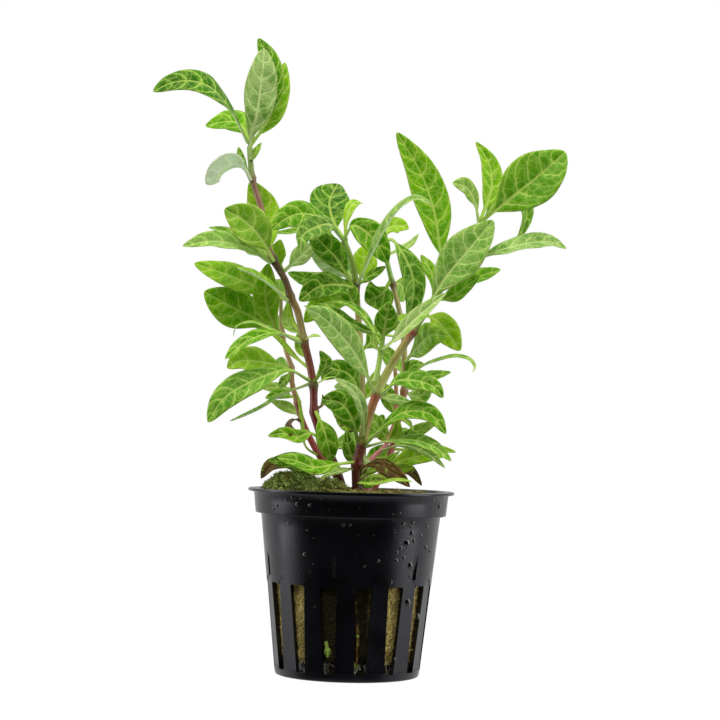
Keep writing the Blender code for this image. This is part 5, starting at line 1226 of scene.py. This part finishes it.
def pot_piece():
    """The net pot with rounded edges, recessed ribs, tapered slots and small wedge-shaped notches cut
    into its wall.
    """
    inner_top = WALL_TOP_RADIUS - WALL
    collar_inner = COLLAR_TOP_RADIUS - WALL
    lip_bottom = POT_HEIGHT - LIP_THICKNESS
    profile = [(0, 0.35), (BASE_RADIUS - 2.4, 0.35), (BASE_RADIUS - 2.0, 0.0), (BASE_RADIUS - 0.7, 0.0),
               (BASE_RADIUS - 0.2, 0.2), (BASE_RADIUS, 0.7), (BASE_RADIUS + 0.12, 1.6)]
    profile += [(wall_radius(z), z) for z in np.linspace(SLOT_BOTTOM + 0.4, WALL_TOP - 0.4, 16)]
    profile += [(WALL_TOP_RADIUS + 0.1, WALL_TOP - 0.05), (COLLAR_BOTTOM_RADIUS - 0.35, WALL_TOP),
                (COLLAR_BOTTOM_RADIUS - 0.05, WALL_TOP + 0.12),
                (COLLAR_BOTTOM_RADIUS + 0.03, WALL_TOP + 0.5),
                (COLLAR_BOTTOM_RADIUS + 0.3, WALL_TOP + 3.2), (COLLAR_TOP_RADIUS, lip_bottom - 0.5),
                (COLLAR_TOP_RADIUS + 0.3, lip_bottom - 0.1), (LIP_RADIUS - 0.3, lip_bottom),
                (LIP_RADIUS - 0.06, lip_bottom + 0.12), (LIP_RADIUS, lip_bottom + 0.4),
                (LIP_RADIUS - 0.06, POT_HEIGHT - 0.12), (LIP_RADIUS - 0.3, POT_HEIGHT),
                (collar_inner + 0.3, POT_HEIGHT), (collar_inner + 0.05, POT_HEIGHT - 0.15),
                (collar_inner, POT_HEIGHT - 0.5), (COLLAR_BOTTOM_RADIUS - WALL, WALL_TOP + WALL),
                (inner_top, WALL_TOP), (BASE_RADIUS - WALL, FLOOR + 0.3),
                (BASE_RADIUS - WALL - 0.3, FLOOR), (0, FLOOR)]
    pot = add_piece("net_pot_finished", *ring_mesh(profile, POT_SIDES), [pot_look])
    face_outward(pot)
    turns = [math.radians(SLOT_FIRST_DEG + k * 360 / SLOT_COUNT) for k in range(SLOT_COUNT)]
    half_turn = math.pi / SLOT_COUNT
    subtract(pot, [cutting_prism(turn + half_turn, rib_outline(),
                                 lambda z: wall_radius(z) - RIB_RECESS, CUT_TO) for turn in turns])
    slots = [cutting_prism(turn, slot_outline(), lambda z: SLOT_CUT_FROM, CUT_TO) for turn in turns]
    half, (low, high) = NOTCH_WIDTH / 2, NOTCH_HEIGHTS
    notch = [(-half, low), (half, low), (half, high), (-half, high)]
    for k in range(NOTCH_COUNT):
        slots.append(cutting_prism(
            math.radians(NOTCH_FIRST_DEG + k * 360 / NOTCH_COUNT), notch,
            lambda z: wall_radius(z) - np.interp(z, NOTCH_HEIGHTS, NOTCH_DEPTHS), CUT_TO))
    side = FLOOR_SLOT_WIDTH / 2
    for k in range(FLOOR_SLOTS):
        outline = [(-side, -1.0), (side, -1.0), (side, FLOOR + 0.4), (-side, FLOOR + 0.4)]
        slots.append(cutting_prism(math.radians(k * 360 / FLOOR_SLOTS), outline,
                                   lambda z: FLOOR_SLOT_INNER, FLOOR_SLOT_OUTER))
    subtract(pot, slots)
    pot.data.polygons.foreach_set("use_smooth", [True] * len(pot.data.polygons))
    pot.data.set_sharp_from_angle(angle=math.radians(SHARP_EDGE_DEG))
    pot.data.update()
    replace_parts(pot, "net_pot")


def strips(starts, directions, normals, lengths, widths, bends, steps=4):
    """Points and faces of many narrow ribbons, each bending evenly along its length."""
    count = len(starts)
    share = np.linspace(0, 1, steps)
    directions, normals = unit(directions), unit(normals)
    sides = unit(np.cross(directions, normals))
    reach = lengths[:, None] * share[None, :]
    centre = starts[:, None, :] + directions[:, None, :] * reach[:, :, None]
    centre = centre + bends[:, None, :] * (share ** 2)[None, :, None] * lengths[:, None, None]
    taper = np.array([1.0] * (steps - 1) + [0.35])
    offset = sides[:, None, :] * (widths[:, None] * taper[None, :] / 2)[:, :, None]
    points = np.stack([centre - offset, centre + offset], axis=2).reshape(-1, 3)
    base = (np.arange(count) * steps * 2)[:, None] + (np.arange(steps - 1) * 2)[None, :]
    faces = np.stack([base, base + 1, base + 3, base + 2], axis=-1).reshape(-1, 4)
    return points, faces.tolist()


def wool_radius(z, turn):
    """The wool's lumpy side, a little inside the pot wall."""
    inside = wall_radius(np.minimum(z, WALL_TOP)) - WALL - GAP
    lumps = sum(size * np.sin(count * turn + climb * z + start)
                for count, climb, start, size in WOOL_WAVES)
    return inside - 0.35 + 0.35 * lumps


def wool_top(x, y):
    """Height of the wool's upper surface."""
    lump = WOOL_LUMP * np.sin(0.55 * x + 0.8) * np.cos(0.47 * y - 0.6)
    height = WOOL_TOP + lump + 0.25 * np.sin(1.7 * x + 0.4) * np.sin(1.4 * y + 1.1)
    for centre_x, centre_y, half_x, half_y, rise in LUMPS:
        height = height + rise * np.exp(-((x - centre_x) / half_x) ** 2 - ((y - centre_y) / half_y) ** 2)
    return height


def wool_pieces():
    """The plug of rock wool with loose strands on its side and top."""
    turns = np.linspace(0, 2 * math.pi, WOOL_SIDES, endpoint=False)
    rows = []
    for share in WOOL_FOOT_SHARES:
        rim = wool_radius(WOOL_FOOT, turns) * share
        rows.append(ring(rim, turns, np.full_like(turns, WOOL_BOTTOM) + 0.4 * np.sin(5 * turns)))
    for z in np.linspace(WOOL_BOTTOM + 1.0, WOOL_TOP - 1.2, WOOL_ROWS):
        rim = wool_radius(z, turns) - 1.2 * max(0.0, z - WOOL_SHOULDER) ** 2 * 0.3
        rows.append(ring(rim, turns, np.full_like(turns, z)))
    for share in WOOL_TOP_SHARES:
        rim = (wool_radius(WOOL_TOP, turns) - 1.0) * share
        top = wool_top(rim * np.cos(turns), rim * np.sin(turns))
        rows.append(ring(rim, turns, top - 0.25 * (share > 0.95)))
    points = np.vstack(rows)
    points += rng.normal(0, WOOL_ROUGHNESS, points.shape)
    core = add_piece("wool_body", points, ring_faces(len(rows), WOOL_SIDES), [wool_look])

    count = STRANDS_SIDE
    turn = rng.uniform(0, 2 * math.pi, count)
    z = rng.uniform(WOOL_BOTTOM - 0.2, SLOT_TOP + 2.5, count)
    outward = ring(1.0, turn, np.zeros(count))
    around = np.stack([-np.sin(turn), np.cos(turn), np.zeros(count)], axis=1)
    radius = wool_radius(z, turn) + rng.uniform(-0.15, 0.45, count)
    starts = outward * radius[:, None] + np.array([0, 0, 1.0]) * z[:, None]
    lean = rng.normal(0.9, 0.8, count)
    directions = around * np.cos(lean)[:, None] + np.array([0, 0, 1.0]) * np.sin(lean)[:, None]
    directions += outward * rng.normal(0, 0.1, count)[:, None]
    bends = around * rng.normal(0, 0.35, (count, 1)) - outward * rng.uniform(0.05, 0.3, (count, 1))
    strands = strips(starts, directions, outward, rng.uniform(1.2, 3.4, count),
                     rng.uniform(*STRAND_WIDTHS, count), bends)
    side = add_piece("wool_side_strands", *strands, [strand_look])

    count = STRANDS_TOP
    radius = STRANDS_REACH * np.sqrt(rng.uniform(0, 1, count))
    turn = rng.uniform(0, 2 * math.pi, count)
    x, y = radius * np.cos(turn), radius * np.sin(turn)
    starts = np.stack([x, y, wool_top(x, y) + rng.uniform(-0.1, 0.25, count)
                       - 0.9 * np.clip(radius - STRANDS_EDGE, 0, 2)], axis=1)
    heading = rng.uniform(0, 2 * math.pi, count)
    directions = ring(1.0, heading, rng.uniform(0.0, 0.5, count))
    bends = np.stack([rng.normal(0, 0.3, count), rng.normal(0, 0.3, count),
                      -rng.uniform(0.1, 0.5, count)], axis=1)
    strands = strips(starts, directions, np.tile([0, 0, 1.0], (count, 1)),
                     rng.uniform(1.0, 2.8, count), rng.uniform(*STRAND_WIDTHS, count), bends)
    top = add_piece("wool_top_strands", *strands, [strand_look])
    for piece in (core, side, top):
        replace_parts(piece, "rock_wool")


def mound_height(x, y):
    """Height of the mossy mound over the wool, or below the wool outside it."""
    u, v = (x - MOUND_CENTRE[0]) / MOUND_HALF[0], (y - MOUND_CENTRE[1]) / MOUND_HALF[1]
    inside = 1 - np.sqrt(u ** 2 + v ** 2)
    rise = np.clip(inside * 1.9, 0, 1) ** 0.6
    lumps = 0.5 * np.sin(1.1 * x + 1) * np.cos(0.9 * y) + 0.3 * np.sin(2.3 * x) * np.sin(2.1 * y + 2)
    lumps = 0.7 * lumps * np.clip(inside * 3, 0, 1)
    return WOOL_TOP + WOOL_LUMP - 0.6 + (MOUND_HEIGHT + 0.5) * rise + lumps


def moss_fur(centre, half, ground, count):
    """Short leaves standing out of an oval patch of ground."""
    share, turn = np.sqrt(rng.uniform(0, 1, count)), rng.uniform(0, 2 * math.pi, count)
    x = centre[0] + half[0] * share * np.cos(turn)
    y = centre[1] + half[1] * share * np.sin(turn)
    starts = np.stack([x, y, ground(x, y) - 0.05], axis=1)
    outward = np.stack([np.cos(turn) * share, np.sin(turn) * share, np.ones(count)], axis=1)
    directions = unit(outward) + rng.normal(0, 0.55, (count, 3))
    return strips(starts, directions, rng.normal(0, 1, (count, 3)), rng.uniform(0.3, 1.0, count),
                  rng.uniform(0.1, 0.3, count), rng.normal(0, 0.3, (count, 3)), 3)


def moss_pieces():
    """The mound as a lumpy body under a fur of short leaves, and moss on a lump of the wool."""
    turns = np.linspace(0, 2 * math.pi, MOSS_SIDES, endpoint=False)
    rows = []
    for share in MOSS_SHARES:
        x = MOUND_CENTRE[0] + MOUND_HALF[0] * share * np.cos(turns)
        y = MOUND_CENTRE[1] + MOUND_HALF[1] * share * np.sin(turns)
        z = mound_height(x, y) if rows else np.full_like(x, WOOL_TOP - 0.8)
        rows.append(np.stack([x, y, z], axis=1))
    points = np.vstack(rows) + rng.normal(0, MOSS_ROUGHNESS, (len(rows) * MOSS_SIDES, 3))
    body = add_piece("moss_body", points, ring_faces(len(rows), MOSS_SIDES), [moss_look])
    fur = add_piece("moss_fur", *moss_fur(MOUND_CENTRE, MOUND_HALF, mound_height, MOSS_BLADES),
                    [moss_look])
    for piece in (body, fur):
        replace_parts(piece, "moss_mound")
    centre_x, centre_y, half_x, half_y = LUMPS[0][:4]
    fur = moss_fur((centre_x, centre_y), (half_x, half_y), wool_top, LUMP_BLADES)
    add_piece("moss_on_wool", *fur, [moss_look])


def on_pot(x, z):
    """The point of the pot's wall seen at (x, z) in the front view, and the way out of it."""
    radius = wall_radius(z) if z < WALL_TOP else COLLAR_BOTTOM_RADIUS + 0.09 * (z - WALL_TOP)
    depth = -math.sqrt(max(radius ** 2 - x ** 2, 1.0))
    for _ in range(4):
        point = seen(x, z, depth)
        depth = -math.sqrt(max(radius ** 2 - point[0] ** 2, 1.0))
    point = seen(x, z, depth)
    return point, unit(np.array([point[0], point[1], 0.0]))


def drop_piece():
    """Small drops on the pot's wall as flattened domes that sag a little."""
    parts = []
    rings, sides = DROP_RINGS, DROP_SIDES
    places = list(DROPS)
    for _ in range(FINE_DROPS):
        x = rng.choice([rng.uniform(11.0, 21.5), rng.uniform(-21.5, 20.0)], p=[0.6, 0.4])
        places.append((x, rng.uniform(26.0, 47.0), rng.uniform(0.15, 0.28)))
    for x, z, given in places:
        radius = given * DROP_SPREAD
        centre, outward = on_pot(x, z)
        along = np.array([-outward[1], outward[0], 0])
        up = np.array([0, 0, 1.0])
        points = []
        for level in range(rings):
            rise = math.pi / 2 * level / rings
            sag = -DROP_SAG * radius * math.sin(rise)
            for k in range(sides):
                turn = 2 * math.pi * k / sides
                width = radius * math.cos(rise) * (1 + 0.08 * math.sin(2 * turn + x))
                points.append(centre + along * width * math.cos(turn)
                              + up * (DROP_STRETCH * width * math.sin(turn) + sag)
                              + outward * (DROP_BULGE * radius * math.sin(rise) - 0.03))
        points.append(centre + outward * DROP_BULGE * radius + up * (-DROP_SAG * radius))
        faces = [(r * sides + k, r * sides + (k + 1) % sides, (r + 1) * sides + (k + 1) % sides,
                  (r + 1) * sides + k) for r in range(rings - 1) for k in range(sides)]
        last = (rings - 1) * sides
        faces += [(last + k, last + (k + 1) % sides, rings * sides) for k in range(sides)]
        faces.append(tuple(reversed(range(sides))))
        parts.append((points, faces))
    add_piece("drops", *joined(parts), [drop_look])


def plant_pieces():
    """Fine leaves in place of the plain ones, and the stems that carry them."""
    stems = {name: Stem(name) for name in STEMS}
    rows = {f"{group}_leaf_{k}": row for group in LEAVES for k, row in enumerate(LEAVES[group], 1)}
    odd_leaf, odd_stem = LEAF_OFF_ITS_STEM
    own = []
    for name, (width, facing, _, route) in rows.items():
        stem = stems[odd_stem if name == odd_leaf else name.split("_")[0] + "_stem"]
        own.append(Leaf(len(own), stem, width, facing, route, False))
    small = [Leaf(SMALL_LEAF_SHAPES + i, stems[stem], width, facing, route, True)
             for i, (stem, width, facing, _, route) in enumerate(SMALL_LEAVES)]
    spread(own + small, stems)
    for i, (name, (_, _, look, _)) in enumerate(rows.items()):
        piece = leaf_piece(f"{name}_blade", [leaf_grid(own[i], look, i + 1, *LARGE_GRID)])
        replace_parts(piece, name)
    for name, stem in stems.items():
        stem_piece(name, stem)
        grids = [leaf_grid(leaf, SMALL_LEAVES[i][3], SMALL_LEAF_SEEDS + i, *SMALL_GRID)
                 for i, leaf in enumerate(small) if leaf.stem is stem]
        if grids:
            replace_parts(leaf_piece(f"{name}_small_leaves", grids), name)


class Bit:
    """A loose leaf bit behind a slot, shaped like a leaf but joined to nothing."""

    def __init__(self, width, facing, route):
        self.width, self.facing, self.fold, self.widest = width, facing, SLOT_BIT_FOLD, 0.5
        self.points = [seen(*p) for p in route]

    def controls(self):
        return self.points

    surface = Leaf.surface


def slot_bits():
    leaf_piece("slot_bits", [leaf_grid(Bit(width, facing, route), look, SLOT_BIT_SEEDS + i, *SMALL_GRID)
                             for i, (width, facing, look, route) in enumerate(SLOT_BITS)])


def root_piece():
    """Pale root ends hanging from the wool to the pot's floor."""
    feet = np.array([(x, y) for x, y, count in ROOTS for _ in range(count)])
    count = len(feet)
    starts = np.column_stack([feet + rng.normal(0, 1.1, (count, 2)), rng.uniform(4.6, 6.2, count)])
    directions = np.column_stack([rng.normal(0, 0.35, (count, 2)), -np.ones(count)])
    points, faces = strips(
        starts, directions, rng.normal(0, 1, (count, 3)), rng.uniform(2.4, 4.0, count),
        rng.uniform(0.25, 0.5, count), rng.normal(0, 0.4, (count, 3)), 6)
    reach = np.hypot(points[:, 0], points[:, 1])
    points[:, :2] *= np.minimum(1, (BASE_RADIUS - WALL - 0.5) / reach)[:, None]
    points[:, 2] = np.maximum(points[:, 2], FLOOR + 0.1)
    add_piece("roots", points, faces, [root_look])


def add_camera():
    rise, roll = math.radians(CAMERA_RISE_DEG), math.radians(CAMERA_ROLL_DEG)
    forward = np.array([0, math.cos(rise), math.sin(rise)])
    level, upright = np.array([1.0, 0, 0]), np.array([0, -math.sin(rise), math.cos(rise)])
    right = level * math.cos(roll) + upright * math.sin(roll)
    up = -level * math.sin(roll) + upright * math.cos(roll)
    camera = bpy.data.objects.new("camera", bpy.data.cameras.new("camera"))
    bpy.context.scene.collection.objects.link(camera)
    camera.data.lens, camera.data.sensor_width = LENS_MM, SENSOR_MM
    place = np.eye(4)
    place[:3, 0], place[:3, 1], place[:3, 2], place[:3, 3] = right, up, -forward, EYE * MM
    camera.matrix_world = Matrix(place.tolist())
    bpy.context.scene.camera = camera
    bpy.context.scene.view_settings.view_transform = "Standard"


def add_lamp(name, place, size, watts):
    lamp = bpy.data.objects.new(name, bpy.data.lights.new(name, "AREA"))
    bpy.context.scene.collection.objects.link(lamp)
    lamp.data.shape, lamp.data.size, lamp.data.size_y = "RECTANGLE", size[0], size[1]
    lamp.data.energy = watts
    lamp.location = place
    aim = Vector(LAMP_AIM) - Vector(place)
    lamp.rotation_euler = aim.to_track_quat("-Z", "Y").to_euler()


def add_world():
    """White behind the plant; for lighting, bright sides, back and top and a dark front."""
    world = bpy.data.worlds.new("studio")
    world.use_nodes = True
    bpy.context.scene.world = world
    graph = Graph(world.node_tree)
    x, y, z = graph.parts(graph.node("ShaderNodeTexCoord", {}, "Generated"))
    ahead = graph.node("ShaderNodeMath", {0: y, 1: -0.98, 2: graph.times(x, -0.2)},
                       operation="MULTIPLY_ADD")
    front = graph.step(ahead, 0.05, 0.35, SIDE_LIGHT, FRONT_LIGHT)
    off_level = graph.step(graph.size(z), 0.45, 0.75)
    front = graph.blend(off_level, front, SIDE_LIGHT)
    light = graph.plus(front, graph.step(z, 0.35, 0.75, 0.0, TOP_LIGHT))
    direct = graph.node("ShaderNodeLightPath", {}, "Is Camera Ray")
    background = graph.tree.nodes["Background"]
    graph.feed(background.inputs["Strength"], graph.blend(direct, light, 1.0))
    background.inputs["Color"].default_value = (1, 1, 1, 1)


def add_floor():
    reach = FLOOR_HALF * MM
    points = [(-reach, -reach, 0), (reach, -reach, 0), (reach, reach, 0), (-reach, reach, 0)]
    mesh = bpy.data.meshes.new("floor")
    mesh.from_pydata(points, [], [(0, 1, 2, 3)])
    floor = bpy.data.objects.new("floor", mesh)
    bpy.context.scene.collection.objects.link(floor)
    shade = Shade("floor", Specular_IOR_Level=0.0, Emission_Strength=1.0)
    grain = shade.noise(shade.millimetres(), 0.02)
    white = shade.mix(grain, (0.995, 0.995, 0.995, 1), (1, 1, 1, 1))
    shade.feed(shade.shader.inputs["Emission Color"], white)
    grey = shade.mix(grain, (0.02, 0.02, 0.02, 1), (0.03, 0.03, 0.03, 1))
    mesh.materials.append(shade.finish(grey, 0.9))
    floor.visible_diffuse = floor.visible_glossy = floor.visible_shadow = False


leaf_upper = leaf_material("leaf_upper", False)
leaf_under = leaf_material("leaf_under", True)
stem_look = stem_material()
pot_look = pot_material()
drop_look = drop_material()
wool_look = wool_material("wool_body", False)
strand_look = wool_material("wool_strand", True)
moss_look = moss_material()
root_look = root_material()

pot_piece()
wool_pieces()
moss_pieces()
plant_pieces()
slot_bits()
root_piece()
drop_piece()
add_camera()
add_world()
for lamp in LAMPS:
    add_lamp(*lamp)
add_floor()
